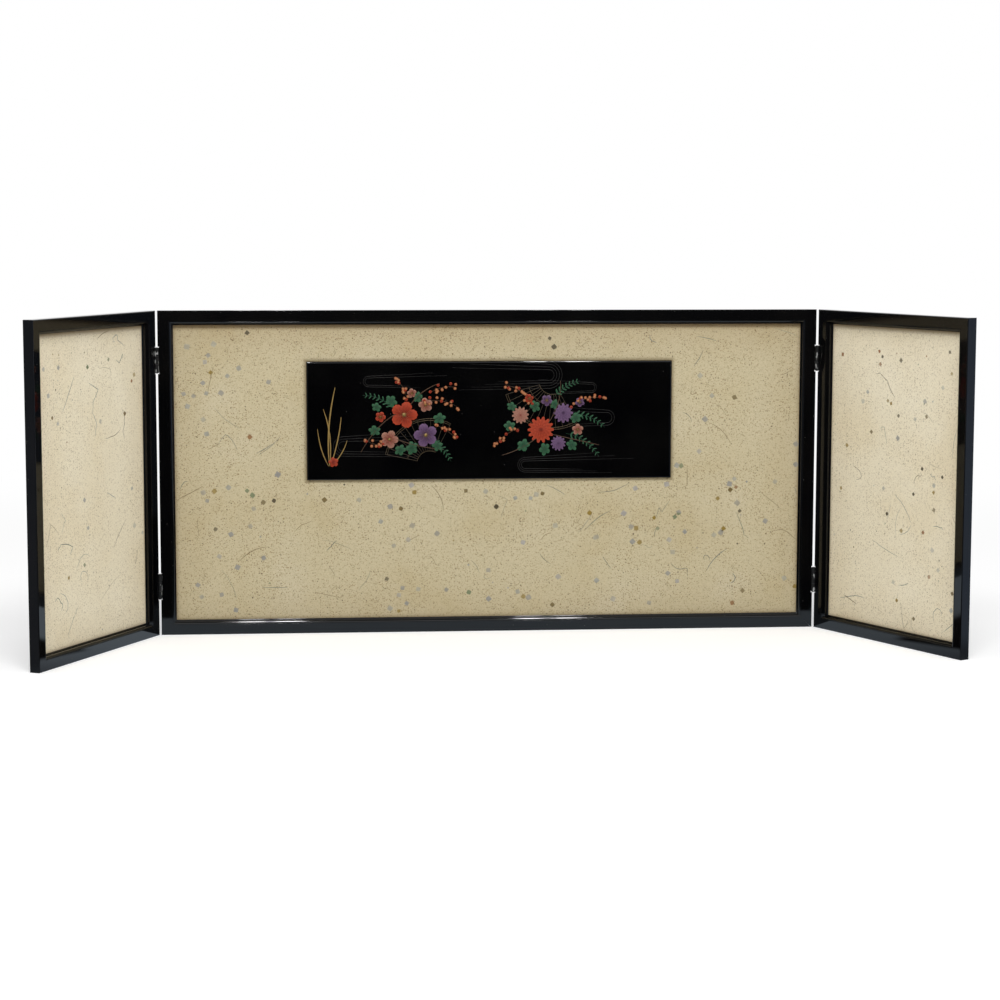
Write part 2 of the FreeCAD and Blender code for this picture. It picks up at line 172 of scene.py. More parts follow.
print("materials")

lacquer = {
    "black": (4, 4, 5), "worn": (10, 9, 9), "cloudScale": 14.0,
    "dustScale": 95.0, "dustSize": (0.05, 0.02), "dustTone": (120, 118, 112),
    "peelScale": 420.0, "peel": 0.00001,
    "roughness": 0.040, "smudge": 0.022, "specular": 0.30,
}


def lacquerMaterial(name, look):
    # Deep black lacquer: faint orange peel, cloudy polish marks and a few specks of dust
    material, sheet = newMaterial(name)
    clouds = sheet.noise(look["cloudScale"], 3.0)
    dust = sheet.span(sheet.cells(look["dustScale"]), *look["dustSize"])
    body = sheet.mix(sheet.span(clouds, 0.35, 0.75), linear(look["black"]), linear(look["worn"]))
    smudges = look["smudge"] * sheet.span(clouds, 0.45, 0.8)
    sheet.principled({
        "Base Color": sheet.mix(dust * 0.25, body, linear(look["dustTone"])),
        "Roughness": look["roughness"] + smudges + dust * 0.3,
        "Specular IOR Level": look["specular"],
        "Normal": sheet.bump(sheet.noise(look["peelScale"], 1.0), look["peel"], 0.35),
    })
    return material


paperEdge = screen["faceWidth"] + screen["lip"]
paper = {
    "base": (194, 182, 149), "shade": (188, 174, 138), "pale": (199, 188, 158), "cloudScale": 13.0,
    # rim and edge are the tones of the painted shade along the frame, with some browning of the
    # paper
    "rim": (150, 124, 82), "edge": (112, 90, 56), "plaqueRingTone": (118, 98, 60),
    "speck": (122, 96, 54), "darkSpeck": (78, 60, 34), "density": 1.0,
    "rimShadeAndBrowning": [       # painted shade of the recess along the frame, partly browned paper: noise scale, sway, width, overrun, strength and tone, at the rim
        (55.0, 0.006, 0.0055, 0.0005, 0.20, "rim"), (1.0, 0.0, 0.0026, 0.0002, 0.42, "edge"),
        (19.0, 0.03, 0.05, 0.0, 0.14, "rim"),
    ],
    "headShade": [(0.0075, 0.85, "edge"), (0.045, 0.16, "rim")],    # under the top rail
    "specks": [         # scale, tone, radius in its cell, share of the cells, strength
        (610.0, "speck", 0.44, 0.42, 0.85), (1050.0, "speck", 0.44, 0.45, 0.75),
        (402.6, "darkSpeck", 0.32, 0.20, 0.90),
    ],
    "along": (1.0, 0.0, 0.0), "middle": 0.0, "level": screen["height"] / 2 * mm,
    "half": (screen["centreWidth"] / 2 - paperEdge) * mm,
    "halfHeight": (screen["height"] / 2 - paperEdge) * mm,
    "plaque": (plaque["halfWidth"] * mm, plaque["halfHeight"] * mm,
               (plaque["middle"] - screen["height"] / 2) * mm),
    # Width and depth of the darker brown ring round the plaque
    "plaqueRingWidth": 0.0042, "plaqueRingDepth": 0.6,
    "grainScale": 820.0, "grain": 0.11, "patchScale": 24.0,
    "warpScale": 900.0, "warp": (0.0014, 0.0014, 0.0014),
    "toothScale": 1600.0, "tooth": 0.00012,
    "roughness": 0.62, "specular": 0.35, "sheen": 0.12,
}


def paperMaterial(name, look):
    # Handmade paper: faint cloudy pulp, a dense scatter of small bark specks and a soft tooth,
    # darker and browner at the rim: painted shade where the frame shades the recessed paper, with
    # some browning. With u the way along the panel and v the way up, both from its middle,
    # the rim shows where max(|u| - half, |v| - halfHeight) comes near zero.
    material, sheet = newMaterial(name)
    place = sheet.place()
    clouds = sheet.noise(look["cloudScale"], 4.0)
    base = sheet.mix(sheet.span(clouds, 0.30, 0.52), linear(look["shade"]), linear(look["base"]))
    base = sheet.mix(sheet.span(clouds, 0.52, 0.75), base, linear(look["pale"]))
    across = sheet.node("VectorMath", {"operation": "DOT_PRODUCT"}, {0: place, 1: look["along"]},
                        output="Value") - look["middle"]
    up = sheet.axis(place, 2) - look["level"]
    rim = sheet.beyond(across, look["half"], up, look["halfHeight"])
    # Painted shade along the frame, partly browned paper: darker and browner towards the rim
    for scale, sway, width, overrun, strength, tone in look["rimShadeAndBrowning"]:
        line = rim + sway * (sheet.noise(scale, 3.0) - 0.5)
        base = sheet.mix(sheet.span(line, -width, overrun, 0.0, strength), base, linear(look[tone]))
    for width, strength, tone in look["headShade"]:
        near = sheet.span(up - look["halfHeight"], -width, 0.0, 0.0, strength)
        base = sheet.mix(near, base, linear(look[tone]))
    # Darker brown round the plaque's outline
    if look["plaque"]:
        half, halfHeight, level = look["plaque"]
        gap = sheet.beyond(across, half, up - level, halfHeight)
        near = sheet.span(gap, look["plaqueRingWidth"], 0.0, 0.0, look["plaqueRingDepth"])
        base = sheet.mix(near, base, linear(look["plaqueRingTone"]))
    grain = sheet.span(sheet.noise(look["grainScale"], 2.0, roughness=0.7), 0.25, 0.75,
                       1.0 - look["grain"], 1.0 + look["grain"], False)
    base = sheet.node("VectorMath", {"operation": "SCALE"}, {0: base, "Scale": grain})
    patches = sheet.span(sheet.noise(look["patchScale"], 2.0), 0.3, 0.7, 0.6, 1.0)
    drift = sheet.node("TexNoise", {}, {"Vector": place, "Scale": look["warpScale"]},
                       output="Color")
    warped = sheet.node("VectorMath", {"operation": "MULTIPLY_ADD"},
                        {0: drift, 1: look["warp"], 2: place})
    for scale, tone, radius, share, strength in look["specks"]:
        dots = sheet.span(sheet.cells(scale, warped), radius, radius * 0.45)
        pick = sheet.node("SeparateColor", {}, {0: sheet.cells(scale, warped, "Color")})
        mask = dots * (pick < share) * patches * strength * look["density"]
        base = sheet.mix(mask, base, linear(look[tone]))
    tooth = sheet.noise(look["toothScale"], 3.0)
    sheet.principled({
        "Base Color": base,
        "Roughness": look["roughness"] + 0.12 * sheet.span(tooth, 0.3, 0.7),
        "Specular IOR Level": look["specular"],
        "Sheen Weight": look["sheen"], "Sheen Roughness": 0.45,
        "Normal": sheet.bump(tooth, look["tooth"], 0.35),
    })
    return material


tinted = {"grain": 300.0, "mottle": 0.35, "lift": 0.00004, "metallic": 0.0, "specular": 0.5}


def tintedMaterial(name, look):
    # Painted or foil pieces: each takes its colour from its own attribute, a little mottled
    material, sheet = newMaterial(name)
    own = sheet.node("Attribute", {"attribute_name": "tint"}, output="Color")
    mottle = sheet.noise(look["grain"], 3.0)
    darker = sheet.span(mottle, 0.3, 0.7, 0.0, look["mottle"])
    sheet.principled({
        "Base Color": sheet.mix(darker, own, (0.5, 0.5, 0.5, 1), "MULTIPLY"),
        "Roughness": look["roughness"] + 0.15 * sheet.span(mottle, 0.35, 0.7),
        "Metallic": look["metallic"], "Specular IOR Level": look["specular"],
        "Normal": sheet.bump(mottle, look["lift"], 0.4),
    })
    return material


wood = {
    "pale": (205, 182, 142), "dark": (176, 148, 104), "poreTone": (96, 70, 44),
    "grain": (9.0, 95.0, 95.0), "ringScale": 4.0, "poreScale": 26.0,
    "roughness": 0.62, "lift": 0.0001,
}


def woodMaterial(name, look):
    # Close straight grain, stretched along one way, with pores
    material, sheet = newMaterial(name)
    stretched = sheet.stretch(look["grain"])
    rings = sheet.noise(look["ringScale"], 5.0, stretched, 0.6)
    pores = sheet.span(sheet.noise(look["poreScale"], 2.0, stretched), 0.62, 0.75)
    body = sheet.mix(sheet.span(rings, 0.3, 0.7), linear(look["pale"]), linear(look["dark"]))
    sheet.principled({
        "Base Color": sheet.mix(pores * 0.4, body, linear(look["poreTone"])),
        "Roughness": look["roughness"] + 0.2 * rings,
        "Normal": sheet.bump(rings, look["lift"], 0.4),
    })
    return material


metal = {
    "tone": (150, 150, 152), "spots": (98, 90, 82), "roughness": 0.36,
    "drawn": (900.0, 900.0, 60.0), "cloudScale": 160.0, "lift": 0.00002,
}


def metalMaterial(name, look):
    # Plated or bare metal: drawn marks, dull clouds and darker handling spots
    material, sheet = newMaterial(name)
    marks = sheet.noise(1.0, 3.0, sheet.stretch(look["drawn"]))
    clouds = sheet.noise(look["cloudScale"], 3.0)
    spots = linear(look["spots"])
    body = sheet.mix(sheet.span(clouds, 0.45, 0.8), linear(look["tone"]), spots)
    sheet.principled({
        "Base Color": sheet.mix(sheet.span(marks, 0.4, 0.7, 0.0, 0.3), body, spots),
        "Roughness": look["roughness"] + 0.14 * marks + 0.16 * sheet.span(clouds, 0.5, 0.8),
        "Metallic": 1.0,
        "Normal": sheet.bump(marks, look["lift"], 0.5),
    })
    return material


blackSteel = {
    "black": (9, 9, 9), "dull": (20, 19, 18), "rubbedAndGlintTone": (176, 176, 174),
    "dashes": (420.0, 420.0, 130.0), "dashShare": (0.60, 0.68), "cloudScale": 160.0,
    "roughness": 0.34, "specular": 0.3, "metallic": 0.25, "lift": 0.00003,
}


def wornAndGlintMetalMaterial(name, look):
    # Blackened steel with short upright dashes of dull grey: rubbed wear, and painted glints on the
    # knuckles
    material, sheet = newMaterial(name)
    # The dashes are partly painted highlights: grey glints on the dark knuckles
    rubs = sheet.span(sheet.noise(1.0, 1.0, sheet.stretch(look["dashes"])), *look["dashShare"])
    clouds = sheet.noise(look["cloudScale"], 3.0)
    body = sheet.mix(sheet.span(clouds, 0.4, 0.75), linear(look["black"]), linear(look["dull"]))
    sheet.principled({
        "Base Color": sheet.mix(rubs, body, linear(look["rubbedAndGlintTone"])),
        "Roughness": look["roughness"] + 0.2 * clouds,
        "Specular IOR Level": look["specular"],
        "Metallic": look["metallic"] + 0.3 * rubs,
        "Normal": sheet.bump(clouds, look["lift"], 0.5),
    })
    return material


backing = {
    "dark": (62, 62, 68), "light": (76, 76, 82), "cloudScale": 11.0,
    "fibreTone": (108, 107, 110), "fibreWidth": 0.018, "twist": 3.0,
    "fibres": [(95.0, 0.55), (210.0, 0.5)],     # noise scale and strength
    "rubTone": (98, 94, 90), "rubScale": 42.0,
    "toothTone": (46, 46, 50), "toothScale": 1100.0, "tooth": 0.0001,
    "roughness": 0.76, "specular": 0.25,
}


def backingMaterial(name, look):
    # Plain dark paper: cloudy pulp, a felt of fine pale fibres and a few rubbed spots. The fibres
    # are the thin lines where a strongly twisted noise passes its middle value.
    material, sheet = newMaterial(name)
    clouds = sheet.span(sheet.noise(look["cloudScale"], 6.0, roughness=0.62), 0.3, 0.7)
    body = sheet.mix(clouds, linear(look["dark"]), linear(look["light"]))
    for scale, strength in look["fibres"]:
        twisted = sheet.node("TexNoise", {}, {"Vector": sheet.place(), "Scale": scale,
                                              "Detail": 1.0, "Distortion": look["twist"]})
        line = sheet.span(sheet.size(twisted - 0.5), look["fibreWidth"], 0.0)
        body = sheet.mix(line * strength, body, linear(look["fibreTone"]))
    rubs = sheet.span(sheet.noise(look["rubScale"], 5.0, roughness=0.6), 0.66, 0.8, 0.0, 0.4)
    body = sheet.mix(rubs, body, linear(look["rubTone"]))
    tooth = sheet.noise(look["toothScale"], 3.0)
    dents = sheet.span(tooth, 0.3, 0.7, 0.0, 0.25)
    sheet.principled({
        "Base Color": sheet.mix(dents, body, linear(look["toothTone"])),
        "Roughness": look["roughness"] + 0.12 * tooth, "Specular IOR Level": look["specular"],
        "Normal": sheet.bump(tooth, look["tooth"], 0.4),
    })
    return material


foam = {
    "pale": (235, 232, 222), "dark": (196, 192, 180), "cellScale": 1500.0, "lift": 0.0001,
    "roughness": 0.85,
}


def foamMaterial(name, look):
    # Open-celled adhesive foam
    material, sheet = newMaterial(name)
    cells = sheet.cells(look["cellScale"], feature="DISTANCE_TO_EDGE")
    sheet.principled({
        "Base Color": sheet.mix(sheet.span(cells, 0.0, 0.3), linear(look["pale"]),
                                linear(look["dark"])),
        "Roughness": look["roughness"] + 0.1 * cells,
        "Normal": sheet.bump(cells, look["lift"], 0.6),
    })
    return material


def paleLitWingPaperMaterial(wing, side):
    # A wing's paper is a paler copy of the centre's: painted light for the stronger side light and
    # sheen on the wings. Its way along runs out from the hinge line at the fold angle, and
    # its middle is measured that way.
    fold = math.radians(screen["fold"])
    along = (side * math.cos(fold), -math.sin(fold), 0.0)
    hinge = float(np.dot(along[:2], (side * screen["pivotX"], screen["pivotY"])))
    return paperMaterial(wing + "FleckedPaper", {
        **paper, "base": (229, 219, 193), "shade": (225, 213, 184), "pale": (233, 224, 200),
        "rim": (176, 152, 112), "speck": (146, 122, 82), "darkSpeck": (104, 86, 56),
        "density": 0.8, "headShade": [(0.0055, 0.7, "edge")], "along": along, "plaque": None,
        "middle": (hinge + screen["stileOffset"] + screen["wingWidth"] / 2) * mm,
        "half": (screen["wingWidth"] / 2 - paperEdge) * mm,
    })


frameLacquer = lacquerMaterial("frameLacquer", lacquer)
plaqueLacquer = lacquerMaterial("plaqueLacquer", {
    **lacquer, "black": (2, 2, 3), "worn": (7, 7, 7), "roughness": 0.045, "smudge": 0.015})
centrePaper = paperMaterial("centreFleckedPaper", paper)
wingPapers = {"left_wing": paleLitWingPaperMaterial("left_wing", -1),
              "right_wing": paleLitWingPaperMaterial("right_wing", 1)}
backingPaper = backingMaterial("backingPaper", backing)
boardWood = woodMaterial("boardWood", wood)
splineWood = woodMaterial("splineWood", {**wood, "pale": (190, 160, 116), "dark": (150, 116, 74)})
padFoam = foamMaterial("adhesiveFoam", foam)
hingeMetal = wornAndGlintMetalMaterial("hingeMetal", blackSteel)
pinMetal = metalMaterial("pinMetal", {
    **metal, "tone": (120, 118, 114), "spots": (70, 68, 64), "roughness": 0.24})
screwMetal = metalMaterial("screwMetal", {
    **metal, "tone": (96, 94, 92), "spots": (52, 50, 48), "roughness": 0.30})
pointSteel = metalMaterial("pointSteel", metal)
flakeMaterial = tintedMaterial("leafFlakes", {**tinted, "roughness": 0.55})
fibreMaterial = tintedMaterial("paperFibres", {**tinted, "roughness": 0.7})
blossomPaint = tintedMaterial("blossomPaint", {
    **tinted, "roughness": 0.42, "grain": 700.0, "specular": 0.2})
goldPaint = tintedMaterial("goldPaint", {
    **tinted, "roughness": 0.42, "grain": 900.0, "metallic": 0.6})

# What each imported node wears, by the end of its name
wearing = {
    "front_paper": centrePaper, "backing_paper": backingPaper, "core_board": boardWood,
    "corner_splines": splineWood, "retaining_points": pointSteel, "adhesive_pads": padFoam,
    "leaf": hingeMetal, "pin": pinMetal, "screws": screwMetal, "rail": frameLacquer,
    "stile": frameLacquer, "plaque": plaqueLacquer,
}
for nodeName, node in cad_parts.items():
    ending = next(key for key in wearing if nodeName.endswith(key))
    chosen = wearing[ending]
    if ending == "front_paper" and "wing" in nodeName:
        chosen = wingPapers[nodeName[:-len("_front_paper")]]
    if not node.material_slots:
        node.data.materials.append(chosen)
    for slot in node.material_slots:
        slot.material = chosen


def onPanel(points, panel):
    # Panel places are across from its middle, depth and height. A wing slides out to its hinge
    # line and turns forward about it by the fold angle.
    _, side, width = panels[panel]
    points = np.asarray(points, float)
    if side == 0:
        return points * mm
    moved = points + [side * (screen["stileOffset"] + width / 2), -screen["pivotY"], 0]
    angle = math.radians(-side * screen["fold"])
    turned = moved @ np.array([[math.cos(angle), math.sin(angle), 0],
                               [-math.sin(angle), math.cos(angle), 0], [0, 0, 1]])
    return (turned + [side * screen["pivotX"], screen["pivotY"], 0]) * mm


def buildPiece(name, points, faces, material, body, smoothAngle, tint=None):
    # Shaded smooth, but sharp where two faces meet at more than the angle in degrees
    mesh = bpy.data.meshes.new(name)
    mesh.from_pydata(np.asarray(points).tolist(), [], [list(face) for face in faces])
    mesh.validate()
    mesh.materials.append(material)
    mesh.shade_smooth()
    mesh.set_sharp_from_angle(angle=math.radians(smoothAngle))
    if tint is not None:
        layer = mesh.attributes.new("tint", "FLOAT_COLOR", "POINT")
        layer.data.foreach_set("color", np.asarray(tint, np.float32).ravel())
    piece = bpy.data.objects.new(name, mesh)
    bpy.context.scene.collection.objects.link(piece)
    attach(piece, body)
    return piece


def gridFaces(rows, columns, first=0):
    # Quads between neighbouring rows, and from the last column round to the first
    i = np.arange(rows - 1)[:, None]
    j = np.arange(columns)[None, :]
    k = (j + 1) % columns
    quads = np.stack([i * columns + j, i * columns + k,
                      (i + 1) * columns + k, (i + 1) * columns + j], -1)
    return quads.reshape(-1, 4) + first


def roundCorners(corners, radii, steps):
    # Each corner becomes an arc that touches both its sides. With unit arms a and b to its
    # neighbours, the centre lies along a + b at radius / sin(half angle), and the arc turns
    # evenly from the one touching point to the other.
    corners = np.asarray(corners, float)
    radii = np.asarray(radii, float)[:, None]
    a = np.roll(corners, 1, 0) - corners
    b = np.roll(corners, -1, 0) - corners
    a /= np.linalg.norm(a, axis=1)[:, None]
    b /= np.linalg.norm(b, axis=1)[:, None]
    half = np.arccos(np.clip((a * b).sum(1), -1, 1))[:, None] / 2
    reach = radii / np.tan(half)
    middle = a + b
    middle /= np.linalg.norm(middle, axis=1)[:, None]
    centre = corners + middle * radii / np.sin(half)
    start = corners + a * reach - centre
    stop = corners + b * reach - centre
    sweep = (np.pi - 2 * half)[:, :, None]
    share = np.linspace(0, 1, steps)[None, :, None]
    arc = (np.sin((1 - share) * sweep) * start[:, None] + np.sin(share * sweep) * stop[:, None])
    return (centre[:, None] + arc / np.sin(sweep)).reshape(-1, 2)


print("mouldings")

moulding = {
    "arris": {"centre": 0.35, "leftWing": 0.85, "rightWing": 0.85}, "backEdge": 0.7,
    "softEdge": 0.15, "tightEdge": 0.05, "groove": 0.55, "grooveDepth": 0.9, "grooveRound": 0.1,
    "bead": 2.0, "beadDrop": 0.3, "beadShare": 0.58, "beadSlopes": (16.0, 46.0),
    "beadRound": 2.8, "crownRound": 0.15, "footRound": 0.8,
    "lip": screen["lip"], "lipThickness": 0.9, "lipRound": 0.8,
    "wall": 7.2, "arcSteps": 7, "support": 0.12, "supportShare": 0.3, "jointGap": 0.015,
    "stations": 7, "stationReach": 0.9,
    "hingeReach": 0.8, "swellDepth": 6.0, "swellHeight": 2.0,
    "mortiseDepth": 0.5, "mortiseLength": 27.6, "mortiseReach": 3.0, "hingeInset": 50.0,
    "wingHinge": {"arris": {"leftWing": 0.4, "rightWing": 0.4}, "beadSlopes": (2.0, 60.0),
                  "beadShare": 0.08, "beadRound": 0.3, "hingeReach": 1.3},
    "centreTop": {"bead": 1.6, "groove": 0.95, "beadShare": 0.75, "beadSlopes": (37.0, 50.0),
                  "beadRound": 0.5, "lip": 1.7},
    "sharpAbove": 32.0,     # degrees
}


def mouldingProfile(look, arris):
    # (depth, height above the outer edge), counterclockwise, seen from the member's end. The
    # bead falls towards the paper at two slopes s: a width w of it falls by w tan s. A support
    # point next to each end of every straight part keeps its shading flat.
    front, back = -screen["depth"] / 2, screen["depth"] / 2
    face, bead = screen["faceWidth"], look["bead"]
    flat = face - bead - look["groove"]
    crown, floor = front + look["beadDrop"], front + look["grooveDepth"]
    lip = screen["paperFront"] - look["lipThickness"]
    soft, tight, groove = look["softEdge"], look["tightEdge"], look["grooveRound"]
    first, second = (math.radians(slope) for slope in look["beadSlopes"])
    width = bead * look["beadShare"]
    knee = (crown + width * math.tan(first), face - bead + width)
    foot = (knee[0] + (bead - width) * math.tan(second), face)
    corners = [(front, 0), (back, 0), (back, look["wall"]), (screen["paperFront"], look["wall"]),
               (screen["paperFront"], face + look["lip"]), (lip, face + look["lip"]), (lip, face),
               foot, knee, (crown, face - bead), (floor, face - bead), (floor, flat), (front, flat)]
    radii = [arris, look["backEdge"], soft, tight, tight, look["lipRound"], soft,
             look["footRound"], look["beadRound"], look["crownRound"], groove, groove, soft]
    arcs = roundCorners(corners, radii, look["arcSteps"]).reshape(len(corners), -1, 2)
    end = arcs[:, -1:]
    gap = np.roll(arcs[:, :1], -1, 0) - end
    length = np.linalg.norm(gap, axis=2, keepdims=True) + 1e-9
    share = np.minimum(look["supportShare"], look["support"] / length)
    return np.concatenate([arcs, end + gap * share, end + gap * (1 - share)], 1).reshape(-1, 2)


def memberStations(look, reach, hinged):
    # The places along a member, and 1 for those within a mortise, which has two stations at
    # either end: one without and one within.
    places = np.linspace(-1, 1, look["stations"]) * look["stationReach"] \
        * (reach - screen["faceWidth"])
    sunk = np.zeros(len(places))
    if hinged:
        half, spot = look["mortiseLength"] / 2, reach - look["hingeInset"]
        seats = np.array([(middle + end * half, within) for middle in (-spot, spot)
                          for end, within in ((-1, 0), (-1, 1), (1, 1), (1, 0))])
        places = np.concatenate([places, seats[:, 0]])
        sunk = np.concatenate([sunk, seats[:, 1]])
        order = np.argsort(places, kind="stable")
        places, sunk = places[order], sunk[order]
    return (np.concatenate([[-reach], places, [reach]])[:, None],
            np.concatenate([[0], sunk, [0]])[:, None])


def turnMember(side, width, along, deep, level):
    # A bottom rail lies as it is worked out, and the others are turned onto their own side
    half, height = width / 2, screen["height"]
    turned = {
        "bottom": (along, deep, level), "top": (-along, deep, height - level),
        "left": (-half + level, deep, height / 2 - along),
        "right": (half - level, deep, height / 2 + along),
    }
    return np.stack(turned[side], -1).reshape(-1, 3)


def addMember(name, node, panel, side, hinged, look):
    # The profile is carried along the member between two mitred ends, where the length at a
    # height h is cut back by h. In a mortise nothing in front of its back wall lies below it.
    # On a hinged side the outer edge swells forward by reach * (back - depth) / swellDepth, at
    # most reach, and the less the higher above it.
    body, _, width = panels[panel]
    if hinged and panel != "centre":
        look = {**look, **look["wingHinge"]}
    if side == "top" and panel == "centre":
        look = {**look, **look["centreTop"]}
    reach = (screen["height"] if side in ("left", "right") else width) / 2
    deep, high = mouldingProfile(look, look["arris"][panel]).T
    if hinged:
        swell = np.clip((screen["depth"] / 2 - deep) / look["swellDepth"], 0, 1)
        high = high - look["hingeReach"] * swell * np.clip(1 - high / look["swellHeight"], 0, 1)
    along, sunk = memberStations(look, reach, hinged)
    floor = look["mortiseDepth"] * sunk * (deep < look["mortiseReach"])
    level = np.where(sunk > 0, np.maximum(high, floor), high)
    cut = reach - np.maximum(high, 0) - look["jointGap"]
    along = np.where(np.abs(along) >= reach, np.sign(along) * cut, along)
    rows, columns = along.shape
    points = turnMember(side, width, along, np.broadcast_to(deep, along.shape), level)
    faces = gridFaces(rows, columns)[:, ::-1].tolist()
    faces.append(list(range(columns)))
    faces.append(list(range(rows * columns - 1, (rows - 1) * columns - 1, -1)))
    piece = buildPiece(name, onPanel(points, panel), faces, frameLacquer, body,
                       look["sharpAbove"])
    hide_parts(node)


hingedSides = {"centre": ("left", "right"), "leftWing": ("right",), "rightWing": ("left",)}
prefixes = {"centre": "centre", "leftWing": "left_wing", "rightWing": "right_wing"}
for panel, prefix in prefixes.items():
    for side in ("bottom", "top", "left", "right"):
        hinged = side in hingedSides[panel]
        if side in ("bottom", "top"):
            node = "%s_%s_rail" % (prefix, side)
        elif panel == "centre":
            node = "centre_%s_stile" % side
        else:
            node = "%s_%s_stile" % (prefix, "hinge" if hinged else "outer")
        addMember(panel + side.capitalize() + "Moulding", node, panel, side, hinged, moulding)

print("flecked papers")

flecks = {
    "steps": 16, "rise": 0.05, "sink": 0.03, "squareness": 1.15, "turn": 0.35, "rough": 0.10,
    "margin": 2.0, "plaqueGap": 4.0, "clusters": 9, "gathered": 0.45, "spread": 15.0,
    "fade": 0.35, "softRim": 0.35, "blues": 3, "blueGrowth": 0.14, "blueFade": 0.33,
    "rims": [(0.25, 1.0), (0.8, 0.8), (1.0, 0.0)],      # share of the radius and of the rise
    "underRim": 0.9,
    # The paper tone that flakes and fibres fade into. The wings' paler tone is painted light, like
    # their paper
    "ground": {"centre": (186, 174, 141), "leftWing": (222, 212, 183),
               "rightWing": (222, 212, 183)},
    "tones": [(114, 119, 130), (134, 141, 146), (150, 149, 156), (100, 78, 20), (140, 114, 32),
              (60, 46, 16), (112, 122, 88), (138, 88, 36)],
    "groups": {     # how many, low and high share of the height, radii, and weights of the tones
        "centre": [(92, 0.02, 0.50, (2.2, 3.1), (6, 7, 4, 3, 4, 2, 1, 1)),
                   (62, 0.40, 0.98, (2.2, 3.2), (7, 6, 4, 2, 2, 1, 1, 0)),
                   (46, 0.02, 0.98, (0.7, 1.2), (2, 2, 1, 3, 3, 3, 2, 2))],
        "leftWing": [(19, 0.05, 0.95, (2.0, 2.7), (2, 2, 1, 2, 2, 4, 2, 2)),
                     (15, 0.05, 0.95, (0.7, 1.1), (1, 1, 1, 3, 2, 5, 2, 1))],
        "rightWing": [(38, 0.05, 0.95, (2.0, 2.7), (3, 2, 1, 3, 4, 3, 1, 3)),
                      (16, 0.05, 0.95, (0.7, 1.1), (1, 1, 1, 3, 2, 5, 2, 1))],
    },
}
fibres = {
    "steps": 26, "rise": 0.08, "sink": 0.03, "margin": 1.0, "plaqueGap": 1.5, "fade": 0.6,
    "kinkTurn": (0.5, 2.2), "bias": 0.6, "taper": 0.75, "bluntness": 0.6,
    "tones": [(92, 98, 92), (100, 108, 108), (112, 90, 52), (98, 110, 98), (104, 84, 46)],
    "groups": {     # how many, lengths, bend at each step, kinks, and widths
        "centre": [(52, (12, 38), 0.035, 1, (0.50, 0.80)), (24, (8, 20), 0.20, 1, (0.50, 0.75)),
                   (12, (22, 44), 0.16, 4, (0.50, 0.80))],
        "leftWing": [(15, (16, 48), 0.04, 1, (0.50, 0.80)), (8, (16, 40), 0.20, 4, (0.55, 0.85))],
        "rightWing": [(19, (16, 44), 0.04, 1, (0.50, 0.80)),
                      (8, (14, 34), 0.20, 3, (0.55, 0.85))],
    },
}
seeds = {"flecks": 11, "fibres": 41}        # the next panels take the next seeds


class Gather:
    # Rings of points, each ring joined to the next and both ends closed, put into one mesh
    def __init__(self):
        self.points, self.faces, self.tints, self.count = [], [], [], 0

    def addRings(self, rings, tint):
        rows, columns = rings.shape[:2]
        quads = gridFaces(rows, columns, self.count)
        self.faces += quads.tolist()
        first = self.count
        self.faces.append(list(range(first + columns - 1, first - 1, -1)))
        last = first + (rows - 1) * columns
        self.faces.append(list(range(last, last + columns)))
        self.points.append(rings.reshape(-1, 3))
        self.tints.append(np.broadcast_to(tint, (rows, columns, 4)).reshape(-1, 4))
        self.count += rows * columns

    def build(self, name, panel, material, slotName, smoothAngle=50.0):
        points = onPanel(np.concatenate(self.points), panel)
        return buildPiece(name, points, self.faces, material, panels[panel][0],
                          smoothAngle, np.concatenate(self.tints))


def behindPlaque(across, up, margin):
    return (abs(across) < plaque["halfWidth"] + margin) & \
        (abs(up - plaque["middle"]) < plaque["halfHeight"] + margin)


def fleckSpots(chance, look, count, low, high, width, tall):
    # Even chance over a band of the panel, but some gather round a few centres with the usual
    # bell-shaped spread, unless that takes them off the paper
    corners = (-width, low * tall), (width, high * tall)
    spots = chance.uniform(*corners, (count, 2))
    centres = chance.uniform(*corners, (look["clusters"], 2))
    near = centres[chance.integers(0, len(centres), count)] \
        + chance.normal(0, look["spread"], (count, 2))
    gathered = (chance.uniform(0, 1, count) < look["gathered"]) & (abs(near[:, 0]) < width) \
        & (near[:, 1] > 0) & (near[:, 1] < tall)
    return np.where(gathered[:, None], near, spots).T


